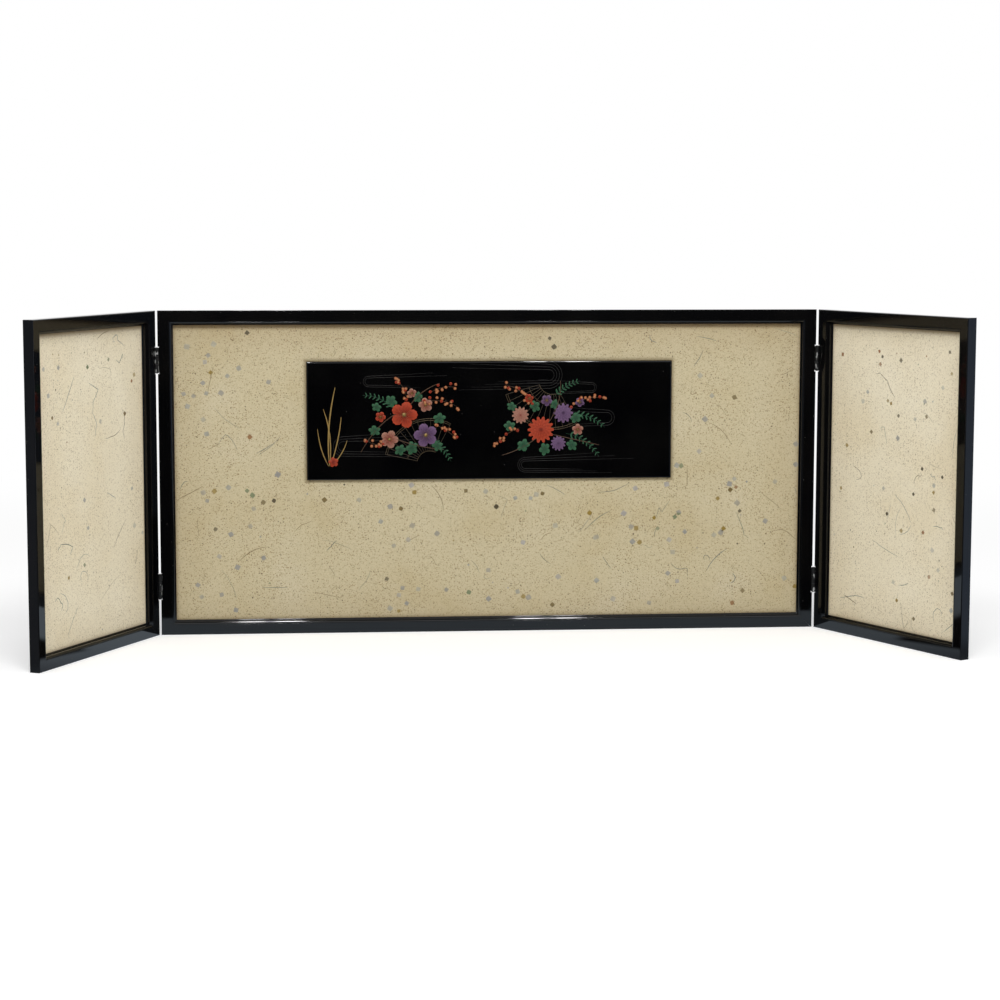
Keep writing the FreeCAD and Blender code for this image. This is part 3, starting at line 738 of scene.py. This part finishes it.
def scatterFlecks(panel, look, seed):
    # Cut leaf flakes: at angle a the rim lies at radius (|cos a|^p + |sin a|^p)^(-1/p), times 1
    # plus some chance, a soft square on its corner. Each is a low closed lens in the paper.
    chance = np.random.default_rng(seed)
    width = panels[panel][2] / 2 - screen["faceWidth"] - look["margin"]
    tall = screen["height"] - 2 * (screen["faceWidth"] + look["margin"])
    gather = Gather()
    ground = np.array(linear(look["ground"][panel]))
    tones = np.array([linear(tone) for tone in look["tones"]])
    turns = np.linspace(0, 2 * np.pi, look["steps"], endpoint=False)
    power = look["squareness"]
    square = (abs(np.cos(turns)) ** power + abs(np.sin(turns)) ** power) ** (-1 / power)
    rims = [(share, -look["rise"] * part) for share, part in look["rims"]]
    rims.append((look["underRim"], look["sink"]))
    for count, low, high, radii, weights in look["groups"][panel]:
        across, up = fleckSpots(chance, look, count, low, high, width, tall)
        up = up + screen["faceWidth"] + look["margin"]
        choice = chance.choice(len(tones), count, p=np.array(weights) / sum(weights))
        blue = choice < look["blues"]
        radius = chance.uniform(*radii, count) * (1 + look["blueGrowth"] * blue)
        rough = 1 + look["rough"] * chance.uniform(-1, 1, (count, look["steps"]))
        shape = radius[:, None] * square * rough
        turned = turns + chance.normal(0, look["turn"], (count, 1))
        fade = (chance.uniform(0.0, look["fade"], count) + look["blueFade"] * blue)[:, None]
        tint = tones[choice] * (1 - fade) + ground * fade
        flat = np.stack([shape * np.cos(turned), shape * np.sin(turned)], -1)
        for index in range(count):
            if panel == "centre" and behindPlaque(across[index], up[index], look["plaqueGap"]):
                continue
            rings = [np.stack([across[index] + share * flat[index, :, 0],
                               np.full(len(turns), screen["paperFront"] + level),
                               up[index] + share * flat[index, :, 1]], -1)
                     for share, level in rims]
            soft = tint[index] * (1 - look["softRim"]) + ground * look["softRim"]
            tints = np.stack([tint[index], tint[index], soft, soft])
            gather.addRings(np.array(rings), tints[:, None])
    gather.build(panel + "Flecks", panel, flakeMaterial, "flecked_paper")


def fibrePaths(chance, look, count, length, bend, kinks, width, low, high):
    # The heading wanders by a random bend at each step and turns sharply at a few kinks, and the
    # running sum of the steps is the path
    start = np.stack([chance.uniform(-width, width, count), chance.uniform(low, high, count)], -1)
    bends = chance.normal(chance.normal(0, bend * look["bias"], (count, 1)), bend,
                          (count, look["steps"]))
    sharp = chance.uniform(0, 1, bends.shape) < kinks * 0.5 / look["steps"]
    bends = bends + sharp * chance.choice([-1, 1], bends.shape) \
        * chance.uniform(*look["kinkTurn"], bends.shape)
    heading = chance.uniform(0, 2 * np.pi, (count, 1)) + np.cumsum(bends, 1)
    ways = np.stack([np.cos(heading), np.sin(heading)], -1)
    path = start[:, None] + np.cumsum(ways * length[:, None, None] / look["steps"], 1)
    return path, np.stack([-ways[..., 1], ways[..., 0]], -1)


def layFibres(panel, look, seed):
    # Bark fibres: a flat lozenge section follows each path, and is widest at its middle
    chance = np.random.default_rng(seed)
    width = panels[panel][2] / 2 - screen["faceWidth"] - look["margin"]
    low = screen["faceWidth"] + look["margin"]
    high = screen["height"] - low
    gather = Gather()
    tones = np.array([linear(tone) for tone in look["tones"]])
    swell = np.sin(np.pi * np.linspace(0, 1, look["steps"])) ** look["bluntness"]
    swell = 1 - look["taper"] + look["taper"] * swell
    for count, lengths, bend, kinks, widths in look["groups"][panel]:
        length = chance.uniform(*lengths, count)
        path, side = fibrePaths(chance, look, count, length, bend, kinks, width, low, high)
        half = chance.uniform(*widths, count)[:, None] / 2 * swell
        side = side * half[:, :, None]
        inside = (abs(path[:, :, 0]) < width).all(1) & (path[:, :, 1] > low).all(1) \
            & (path[:, :, 1] < high).all(1)
        fade = chance.uniform(0.0, look["fade"], count)[:, None]
        tint = tones[chance.integers(0, len(tones), count)] * (1 - fade) \
            + np.array(linear(flecks["ground"][panel])) * fade
        for index in np.flatnonzero(inside):
            if panel == "centre" and behindPlaque(*path[index].T, look["plaqueGap"]).any():
                continue
            edges = []
            thin = half[index] / half.max()
            for shift, level in ((1, 0.0), (0, look["rise"]), (-1, 0.0), (0, -look["sink"])):
                spot = path[index] + side[index] * shift
                edges.append(np.stack([spot[:, 0], screen["paperFront"] - level * thin,
                                       spot[:, 1]], -1))
            gather.addRings(np.stack(edges, 1), tint[index])
    gather.build(panel + "Fibres", panel, fibreMaterial, "flecked_paper")


for index, panel in enumerate(panels):
    scatterFlecks(panel, flecks, seeds["flecks"] + index)
    layFibres(panel, fibres, seeds["fibres"] + index)

print("plaque")


def makePlaque(look):
    # A slab whose front edge is a quarter round: at angle a round it the outline stands in by
    # edge * (1 - sin a) and forward by edge * (1 - cos a). The outline is a rounded rectangle.
    # A support ring on either side of the rounding keeps the flats flat.
    turns = np.linspace(0, np.pi / 2, look["edgeSteps"])
    edge, front, support = look["edge"], look["front"], look["support"]
    inset = np.concatenate([[0.0, 0.0], edge * (1 - np.cos(turns)), [edge + support]])
    depth = np.concatenate([[front + look["thickness"], front + edge + support],
                            front + edge * (1 - np.sin(turns)), [front]])
    signs = np.array([(-1, -1), (1, -1), (1, 1), (-1, 1)])
    shares = np.array(look["sideShares"])[None, :, None]
    steps = look["cornerSteps"]
    rings = []
    for gone, level in zip(inset, depth):
        corner = signs * [look["halfWidth"] - gone, look["halfHeight"] - gone]
        radius = max(look["corner"] - gone, look["innerCorner"])
        arcs = roundCorners(corner, [radius] * 4, steps).reshape(4, steps, 2)
        sides = arcs[:, -1:] * (1 - shares) + np.roll(arcs[:, :1], -1, 0) * shares
        flat = np.concatenate([arcs, sides], 1).reshape(-1, 2)
        rings.append(np.stack([flat[:, 0], np.full(len(flat), level),
                               flat[:, 1] + look["middle"]], -1))
    gather = Gather()
    gather.addRings(np.array(rings), (1, 1, 1, 1))
    piece = gather.build("plaqueBoard", "centre", plaqueLacquer, "plaque_lacquer",
                         look["sharpAbove"])
    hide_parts("plaque")


def onPlaque(flat, rise):
    return np.stack([flat[..., 0], plaque["front"] - rise, flat[..., 1] + plaque["middle"]], -1)


relief = {
    "lift": 0.03, "foot": -0.05, "strokeFoot": -0.04,   # above and below the plaque's face
    "hub": 0.1, "firstRing": 0.3, "lobeRound": 0.7, "valley": 0.5, "strokeSides": 5,
}


def addBloom(gather, middle, radius, petals, notch, turn, inside, outside, rise, base=0.0,
             stretch=1.0, spokes=0, rings=6, teeth=0.04):
    # A relief flower or leaf on a ring grid. At angle a the rim lies at radius times
    # 1 - notch * (1 - |cos(petals * a / 2)|), less some at every other spoke for teeth, and the
    # surface swells as 1 - u^4 out to it, less between the petals. Its colour runs from inside
    # to outside.
    spokes = spokes or max(12, petals * 10)
    u = np.concatenate([[relief["hub"]], np.linspace(relief["firstRing"], 1.0, rings), [1.0]])
    u = u[:, None]
    a = np.linspace(0, 2 * np.pi, spokes, endpoint=False)[None]
    lobe = abs(np.cos(petals * a / 2)) ** relief["lobeRound"] if petals else np.ones_like(a)
    reach = u * radius * (1 - notch * (1 - lobe))
    if petals:
        reach = reach * (1 - teeth * (np.arange(spokes) % 2) * u ** 2)
    x, y = reach * np.cos(a), reach * np.sin(a) * stretch
    flat = np.stack([middle[0] + x * math.cos(turn) - y * math.sin(turn),
                     middle[1] + x * math.sin(turn) + y * math.cos(turn)], -1)
    swell = relief["valley"] + (1 - relief["valley"]) * lobe
    height = base + rise * (1 - u ** 4) * swell + relief["lift"]
    height[-1] = relief["foot"]
    blend = np.clip(u * (0.6 + 0.4 * lobe), 0, 1)[..., None]
    tint = np.array(linear(inside)) * (1 - blend) + np.array(linear(outside)) * blend
    gather.addRings(onPlaque(flat, height)[:, ::-1], tint[:, ::-1])


strokes = {         # width, rise and taper
    "mist": (0.34, 0.10, 0.9), "fanRib": (0.55, 0.12, 0.3), "fanRim": (0.6, 0.14, 0.2),
    "grass": (1.0, 0.35, 0.85), "twig": (1.0, 0.4, 0.7), "stem": (0.5, 0.3, 0.7),
    "spray": (0.5, 0.25, 0.7), "leafVein": (0.24, 0.42, 0.5), "petalVein": (0.42, 0.70, 0.8),
    "stamen": (0.24, 0.85, 0.2),
}


def addStroke(gather, path, kind, tone, broad=1.0):
    # A raised line: half-round across, and thinner towards both ends
    width, rise, taper = strokes[kind]
    width = width * broad
    path = np.asarray(path, float)
    share = np.linspace(0, 1, len(path))
    heading = np.gradient(path, axis=0)
    heading /= np.linalg.norm(heading, axis=1)[:, None] + 1e-9
    side = np.stack([-heading[:, 1], heading[:, 0]], -1)
    half = width / 2 * (1 - taper + taper * np.sin(np.pi * np.clip(share, 0.04, 0.96)) ** 0.5)
    turns = np.linspace(0, np.pi, relief["strokeSides"])
    flat = path[:, None] + side[:, None] * (half[:, None] * np.cos(turns))[..., None]
    height = rise * np.sin(turns)[None] * (half / half.max())[:, None]
    under = flat.mean(1)[:, None]
    flat = np.concatenate([flat, under], 1)
    height = np.concatenate([height, np.full((len(path), 1), relief["strokeFoot"])], 1)
    gather.addRings(onPlaque(flat, height), linear(tone))


def curve(first, bend, last, steps=18):
    # (1 - t)^2 of the first point, 2 t (1 - t) of the bend and t^2 of the last
    t = np.linspace(0, 1, steps)[:, None]
    return (1 - t) ** 2 * np.array(first) + 2 * t * (1 - t) * np.array(bend) \
        + t ** 2 * np.array(last)


design = {
    "red": ((106, 24, 12), (168, 62, 34)), "salmon": ((128, 50, 42), (154, 114, 96)),
    "violet": ((58, 34, 66), (106, 80, 112)), "green": ((20, 56, 38), (50, 94, 64)),
    "berry": ((182, 128, 88), (150, 84, 50)), "gold": ((150, 124, 70), (110, 88, 48)),
    "vein": {"red": (78, 14, 8), "salmon": (104, 34, 30), "violet": (40, 20, 50)},
    "twig": (70, 50, 34), "mist": (36, 34, 32), "fan": (50, 40, 25), "fanRim": (62, 50, 29),
    "blooms": [     # place, radius, petals, colour
        ((-88, 6), 14.0, 5, "red"), ((-66, -15), 12.5, 5, "violet"),
        ((-103, -19), 9.5, 5, "salmon"), ((-66, 16), 7.5, 5, "salmon"),
        ((-112, 4), 5.5, 5, "red"), ((-80, 28), 5.0, 5, "salmon"),
        ((52, -10), 14.0, 14, "red"), ((75, 7), 10.5, 12, "violet"), ((31, 5), 9.0, 12, "salmon"),
        ((70, -24), 8.0, 12, "violet"), ((58, 20), 6.0, 5, "violet"), ((90, -10), 6.0, 5, "salmon"),
        ((92, 18), 5.0, 5, "violet"), ((40, 22), 4.6, 5, "red"),
    ],
    "petalNotch": 0.34, "rayNotch": 0.42, "rayLayers": (1.0, 0.76, 0.52, 0.3),
    "bloomTurn": 0.6, "petalRise": 0.6, "heart": 0.15, "heartRise": 0.5, "heartBase": 0.55,
    "rayRise": 0.4, "rayStep": 0.24, "leafletRise": 0.3, "leafletShrink": 0.35,
    "spokes": 20, "veinStart": 0.2, "veinEnds": (0.88, 0.74, 0.0, 0.74), "stamenStart": 0.1,
    "stamenEnds": (0.36, 0.46, 0.56), "leafVeinShare": 0.8,
    "leafNotch": 0.42, "leafStretch": 0.85, "leafTeeth": 0.09, "leafRise": 0.35,
    "leafletLength": 2.6, "leafletTurn": 0.95, "leafletStretch": 0.34,
    "berrySize": 1.6, "berryRise": 1.1, "berrySpread": 3.2, "berrySeed": 5,
    "leaves": [     # place, length, turn in degrees
        ((-101, 20), 7.0, 130), ((-80, -28), 7.5, 250), ((-52, 2), 7.0, 15),
        ((-118, -10), 6.5, 170), ((-92, -30), 6.5, 215), ((-54, -26), 6.5, 320),
        ((-74, 24), 6.0, 80), ((-116, 14), 5.5, 150),
        ((34, -26), 7.5, 220), ((56, -30), 7.0, 260), ((20, -6), 6.5, 175), ((88, 2), 6.5, 30),
        ((46, 14), 6.5, 110), ((84, -26), 6.5, 310), ((66, 16), 5.5, 70), ((22, 14), 5.5, 150),
    ],
    "twigs": [
        ((-132, -32), (-112, 4), (-84, 12)), ((-84, 12), (-74, 30), (-52, 38)),
        ((-106, -14), (-84, -26), (-48, -30)), ((12, -36), (36, -30), (58, -10)),
        ((56, -8), (74, 14), (72, 40)), ((60, -14), (86, -20), (112, -26)),
    ],
    "sprays": [     # start, bend, end, berries
        ((-72, 18), (-50, 24), (-34, 14), 16), ((-86, 20), (-84, 34), (-98, 42), 14),
        ((-58, -4), (-44, -8), (-34, -20), 13), ((-106, -22), (-118, -28), (-128, -18), 11),
        ((42, 16), (34, 32), (16, 36), 15), ((82, 12), (98, 26), (118, 22), 15),
        ((30, -8), (14, -14), (4, -26), 12), ((-62, 28), (-50, 36), (-36, 34), 11),
    ],
    "fronds": [     # start, bend, end, pairs of leaflets
        ((78, -14), (100, -18), (112, -38), 8), ((84, 6), (104, 6), (118, -8), 7),
        ((66, 24), (76, 36), (92, 40), 7), ((-98, 12), (-112, 26), (-130, 26), 7),
        ((-60, -20), (-46, -28), (-40, -42), 6),
    ],
    "ribs": 13, "fanRings": (0.28, 0.5, 0.96, 1.0),
    "fans": [       # pivot, radius, start and end in degrees
        ((-62, -44), 46.0, 62, 168), ((64, 40), 50.0, 196, 300),
    ],
    "footBloom": ((-160, -42), 5.2),
    "grasses": [    # root, bend, tip, width
        ((-164, -46), (-168, -10), (-158, 34), 1.5), ((-164, -46), (-160, -16), (-170, 12), 1.3),
        ((-163, -46), (-154, -20), (-152, 4), 1.2), ((-165, -46), (-174, -30), (-176, -8), 1.1),
        ((-162, -46), (-150, -34), (-146, -20), 1.0),
    ],
    "mists": [      # place, length, radius, lines, and which way it opens
        (-150, -26, 104, 5.0, 3, 1), (-124, 40, 84, 3.6, 2, 1), (60, 46, 104, 5.5, 4, -1),
        (104, 33, 70, 3.4, 2, -1), (36, -46, 118, 3.8, 3, 1), (120, 2, 58, 5.2, 2, -1),
    ],
}


def wayAt(angle):
    return np.array([math.cos(angle), math.sin(angle)])


def paintMists(gold, look):
    # Dim bands: nested lines that run in, turn back by half a circle and run out again
    for across, up, length, radius, lines, way in look["mists"]:
        for ring in range(lines):
            reach = radius * (1 + 0.5 * ring)
            turns = np.linspace(np.pi / 2, 3 * np.pi / 2, 16)
            arc = np.stack([reach * np.cos(turns), reach * np.sin(turns)], -1)
            ease = np.linspace(1, 0, 14)[:, None] ** 1.5
            top = arc[0] + ease * [length * (0.95 - 0.17 * ring), 2.2 + ring]
            low = arc[-1] + ease[::-1] * [length * (0.5 + 0.13 * ring), -1.2]
            path = np.concatenate([top[:-1], arc, low[1:]])
            addStroke(gold, path * [way, 1] + [across, up], "mist", look["mist"])


def paintFans(gold, look):
    # Open fans: ribs from the inner ring to the rim, and rings across them
    for pivot, radius, first, last in look["fans"]:
        pivot = np.array(pivot)
        along = np.linspace(look["fanRings"][0], 1.0, 5)[:, None] * radius
        for angle in np.radians(np.linspace(first, last, look["ribs"])):
            addStroke(gold, pivot + along * wayAt(angle), "fanRib", look["fan"])
        turns = np.radians(np.linspace(first, last, 24))
        for share in look["fanRings"]:
            ring = np.stack([np.cos(turns), np.sin(turns)], -1) * radius * share
            addStroke(gold, ring + pivot, "fanRim", look["fanRim"])


def paintFronds(leaves, look):
    # Leaflets stand in pairs along a stem, smaller towards its tip
    for first, bend, last, pairs in look["fronds"]:
        stem = curve(first, bend, last, pairs + 2)
        addStroke(leaves, curve(first, bend, last), "stem", look["green"][0])
        way = np.gradient(stem, axis=0)
        for index in range(1, pairs + 1):
            ahead = math.atan2(way[index][1], way[index][0])
            size = look["leafletLength"] * (1 - look["leafletShrink"] * index / pairs)
            for turn in (ahead - look["leafletTurn"], ahead + look["leafletTurn"]):
                addBloom(leaves, stem[index] + size * wayAt(turn), size, 0, 0.0, turn,
                         *look["green"], look["leafletRise"], stretch=look["leafletStretch"],
                         spokes=12, rings=3)


def paintLeaves(leaves, gold, look):
    # Five toothed lobes with a vein in each
    for spot, length, turn in look["leaves"]:
        turn = math.radians(turn)
        addBloom(leaves, spot, length, 5, look["leafNotch"], turn, *look["green"],
                 look["leafRise"], stretch=look["leafStretch"], teeth=look["leafTeeth"])
        for vein in range(5):
            way = wayAt(turn + vein * 2 * np.pi / 5) * [1.0, 0.9]
            end = np.add(spot, length * look["leafVeinShare"] * way)
            addStroke(gold, curve(spot, np.add(spot, end) / 2, end, 4), "leafVein", look["gold"][1])


def paintPetals(blossoms, gold, look, spot, radius, tone, turn):
    # An open five-petalled flower: veins on the petals and stamens round a gold heart
    addBloom(blossoms, spot, radius, 5, look["petalNotch"], turn, *look[tone], look["petalRise"])
    addBloom(gold, spot, radius * look["heart"], 0, 0.0, 0.0, *look["gold"],
             look["heartRise"], look["heartBase"], spokes=12, rings=3)
    for step in range(look["spokes"]):
        way = radius * wayAt(turn + step * 2 * np.pi / look["spokes"])
        reach = look["veinEnds"][step % 4]
        if reach:
            path = np.add(spot, np.linspace(look["veinStart"], reach, 6)[:, None] * way)
            addStroke(blossoms, path, "petalVein", look["vein"][tone])
        reach = look["stamenEnds"][step % 3]
        path = np.add(spot, np.linspace(look["stamenStart"], reach, 4)[:, None] * way)
        addStroke(gold, path, "stamen", look["gold"][0])


def paintBlooms(blossoms, gold, look):
    # Flowers of five petals, or of many rays in layers
    for index, (spot, radius, petals, tone) in enumerate(look["blooms"]):
        turn = look["bloomTurn"] * index
        if petals == 5:
            paintPetals(blossoms, gold, look, spot, radius, tone, turn)
            continue
        for layer, share in enumerate(look["rayLayers"]):
            addBloom(blossoms, spot, radius * share, petals, look["rayNotch"],
                     turn + layer * np.pi / petals, *look[tone], look["rayRise"],
                     look["rayStep"] * layer)
    addBloom(blossoms, *look["footBloom"], 5, look["petalNotch"], 0.5, *look["red"],
             look["petalRise"])


def paintBerries(berries, leaves, look):
    # Berries beside a bent stem, every fourth a red one
    chance = np.random.default_rng(look["berrySeed"])
    for first, bend, last, count in look["sprays"]:
        addStroke(leaves, curve(first, bend, last), "spray", look["twig"])
        path = curve(first, bend, last, count + 1)[1:]
        spots = path + chance.uniform(-look["berrySpread"], look["berrySpread"], path.shape)
        for index, spot in enumerate(spots):
            tones = look["berry"] if index % 4 else look["red"]
            addBloom(berries, spot, look["berrySize"], 0, 0.0, 0.0, *tones, look["berryRise"],
                     spokes=12, rings=3)


def paintPlaque(look):
    # Two sprays of garden blossom over open fans, in raised paint, between dim bands of mist
    blossoms, leaves, berries, gold = Gather(), Gather(), Gather(), Gather()
    paintMists(gold, look)
    paintFans(gold, look)
    for root, bend, tip, width in look["grasses"]:
        addStroke(gold, curve(root, bend, tip), "grass", look["gold"][0], width)
    for points in look["twigs"]:
        addStroke(leaves, curve(*points), "twig", look["twig"])
    paintFronds(leaves, look)
    paintLeaves(leaves, gold, look)
    paintBlooms(blossoms, gold, look)
    paintBerries(berries, leaves, look)
    gold.build("plaqueGold", "centre", goldPaint, "plaque_lacquer")
    blossoms.build("plaqueBlossoms", "centre", blossomPaint, "plaque_lacquer")
    leaves.build("plaqueLeaves", "centre", blossomPaint, "plaque_lacquer")
    berries.build("plaqueBerries", "centre", blossomPaint, "plaque_lacquer")


makePlaque(plaque)
paintPlaque(design)

print("camera")

camera = {
    "place": (-0.2029, -2.5092, 0.4346), "turn": (83.217, -0.097, -4.847),
    "lens": 88.93, "sensor": 36.0, "reach": 60.0,
}
cam = bpy.data.cameras.new("camera")
cam.lens = camera["lens"]
cam.sensor_width = camera["sensor"]
cam.clip_end = camera["reach"]
cameraObject = bpy.data.objects.new("camera", cam)
cameraObject.location = camera["place"]
cameraObject.rotation_euler = [math.radians(angle) for angle in camera["turn"]]
bpy.context.scene.collection.objects.link(cameraObject)
bpy.context.scene.camera = cameraObject

print("studio")

studio = {
    "floorReach": 12, "floorTone": 0.80,
    "floorGlow": 0.33,              # lifts the floor to white round its soft shadow
    "floorFade": (0.55, 1.6),       # metres from the middle, where it turns to plain white
    "darkEdge": (-0.098, -0.118),   # reflections see a dark ground in front of this line,
    "darkWidth": (0.345, 0.325),    # as wide as this to either side,
    "darkSpread": 0.25,             # and wider further out
    "boardShine": (0.94, 1.09, 1.23, 1), "boardEnd": (0.35, 0.56),
    "sideGround": (0.27, 0.30, 0.36, 1), "rightGround": (0.58, 0.72, 0.96, 1),
    "rightFrom": (0.45, 0.60),
    "farShine": 0.05, "farFrom": (3.0, 7.0),    # the dark ground pales by this at that distance
    "roomShine": 0.014, "sideShine": 0.34, "rightShine": 0.85,
    "rightTurn": (-0.2, 0.5), "frontTurn": (-0.95, -0.35), "rearTurn": (-0.15, 0.45),
    "lowShine": 3.6,                # a pale band low in front, by its rise and way ahead
    "lowRise": (0.10, 0.18), "lowTop": (0.52, 0.40), "lowAhead": (-0.3, -0.6),
    "fillLight": 0.38, "fillSides": 0.82,       # the fill, and what it gains to either side
    "key": ((0.0, -1.95, 2.15), (1.5, 0.45), 42.0, (-0.02, 0.0, 0.16)),
    "panes": [-0.285, -0.211, 0.283, 0.360],    # bright window panes that only gloss shows
    "paneLight": ((-1.42, 2.10), (0.052, 0.60), 13.0), "paneAim": (0.0, 0.01),
}


def makeFloor(look):
    # A wide floor. It shows the camera a pale ground that fades to white. Reflections see a pale
    # board under the screen, a dark ground in front of it and a dim one at the sides: with x and
    # y from the middle it is dark where y is beyond the edge and |x| + spread * y below the width.
    material, sheet = newMaterial("floorMaterial")
    place = sheet.place()
    across, deep = sheet.axis(place, 0), sheet.axis(place, 1)
    away = sheet.node("VectorMath", {"operation": "LENGTH"}, {0: place}, output="Value")
    toCamera, toGloss = (sheet.node("LightPath", output="Is %s Ray" % kind)
                         for kind in ("Camera", "Glossy"))
    ground = sheet.node("BsdfDiffuse", {}, {"Color": (look["floorTone"],) * 3 + (1,)})
    glow = sheet.node("Emission", {}, {"Strength": look["floorGlow"]})
    lifted = sheet.node("AddShader", {}, {0: ground, 1: glow})
    white = sheet.node("Emission", {}, {"Strength": 1.0})
    fade = sheet.span(away, *look["floorFade"])
    seen = sheet.node("MixShader", {}, {0: fade, 1: lifted, 2: white})
    spread = sheet.size(across) + look["darkSpread"] * deep
    dark = sheet.span(deep, *look["darkEdge"]) * sheet.span(spread, *look["darkWidth"])
    sides = sheet.mix(sheet.span(across, *look["rightFrom"]), look["sideGround"],
                      look["rightGround"])
    pale = sheet.mix(sheet.span(away, *look["boardEnd"]), look["boardShine"], sides)
    far = look["roomShine"] + sheet.span(away, *look["farFrom"], 0.0, look["farShine"])
    tone = sheet.mix(dark, pale, sheet.node("CombineXYZ", {}, {0: far, 1: far, 2: far}))
    mirrored = sheet.node("Emission", {}, {"Color": tone, "Strength": 1.0})
    shown = sheet.node("MixShader", {}, {0: toCamera, 1: ground, 2: seen})
    sheet.surface(sheet.node("MixShader", {}, {0: toGloss, 1: shown, 2: mirrored}))
    mesh = bpy.data.meshes.new("floor")
    reach = look["floorReach"]
    mesh.from_pydata([(-reach, -reach, 0), (reach, -reach, 0), (reach, reach, 0),
                      (-reach, reach, 0)], [], [(0, 1, 2, 3)])
    mesh.materials.append(material)
    floor = bpy.data.objects.new("floor", mesh)
    bpy.context.scene.collection.objects.link(floor)


def lightWorld(look):
    # White for the camera, and for the rest a fill that grows to the sides. Reflections see white
    # behind the screen, a dimmer room at the sides and a dark one with one pale band in front.
    world = bpy.data.worlds.new("studio")
    bpy.context.scene.world = world
    sheet = NodeSheet(world)
    direction = sheet.node("TexCoord", output="Generated")
    aside, ahead, rise = (sheet.axis(direction, index) for index in range(3))
    seen, mirrored, through = (sheet.node("LightPath", output="Is %s Ray" % kind)
                               for kind in ("Camera", "Glossy", "Transmission"))
    right = sheet.span(aside, *look["rightTurn"], look["sideShine"], look["rightShine"])
    front = sheet.span(ahead, *look["frontTurn"])
    rear = sheet.span(ahead, *look["rearTurn"])
    low = sheet.span(rise, *look["lowRise"]) * sheet.span(rise, *look["lowTop"]) \
        * sheet.span(ahead, *look["lowAhead"])
    room = look["roomShine"] + front * right + rear * (1.0 - right) + look["lowShine"] * low
    fill = look["fillLight"] + look["fillSides"] * aside * aside
    level = seen + through + mirrored * room \
        + fill * (1 - seen) * (1 - through) * (1 - mirrored)
    sheet.surface(sheet.node("Background", {}, {"Color": (1, 1, 1, 1), "Strength": level}),
                  "World")


def hangLamp(name, place, size, power, target, mirrored):
    lamp = bpy.data.lights.new(name, "AREA")
    lamp.shape = "RECTANGLE"
    lamp.size, lamp.size_y = size
    lamp.energy = power
    lampObject = bpy.data.objects.new(name, lamp)
    lampObject.location = place
    lampObject.visible_glossy = mirrored
    lampObject.visible_diffuse = not mirrored
    aim = np.subtract(target, place)
    lampObject.rotation_euler = (math.atan2(math.hypot(aim[0], aim[1]), -aim[2]), 0,
                                 math.atan2(aim[1], aim[0]) - math.pi / 2)
    bpy.context.scene.collection.objects.link(lampObject)


makeFloor(studio)
lightWorld(studio)
hangLamp("key", *studio["key"], False)
for index, across in enumerate(studio["panes"]):
    (deep, high), size, power = studio["paneLight"]
    hangLamp("pane%d" % index, (across, deep, high), size, power,
             (across, *studio["paneAim"]), True)
bpy.context.scene.view_settings.view_transform = "Standard"
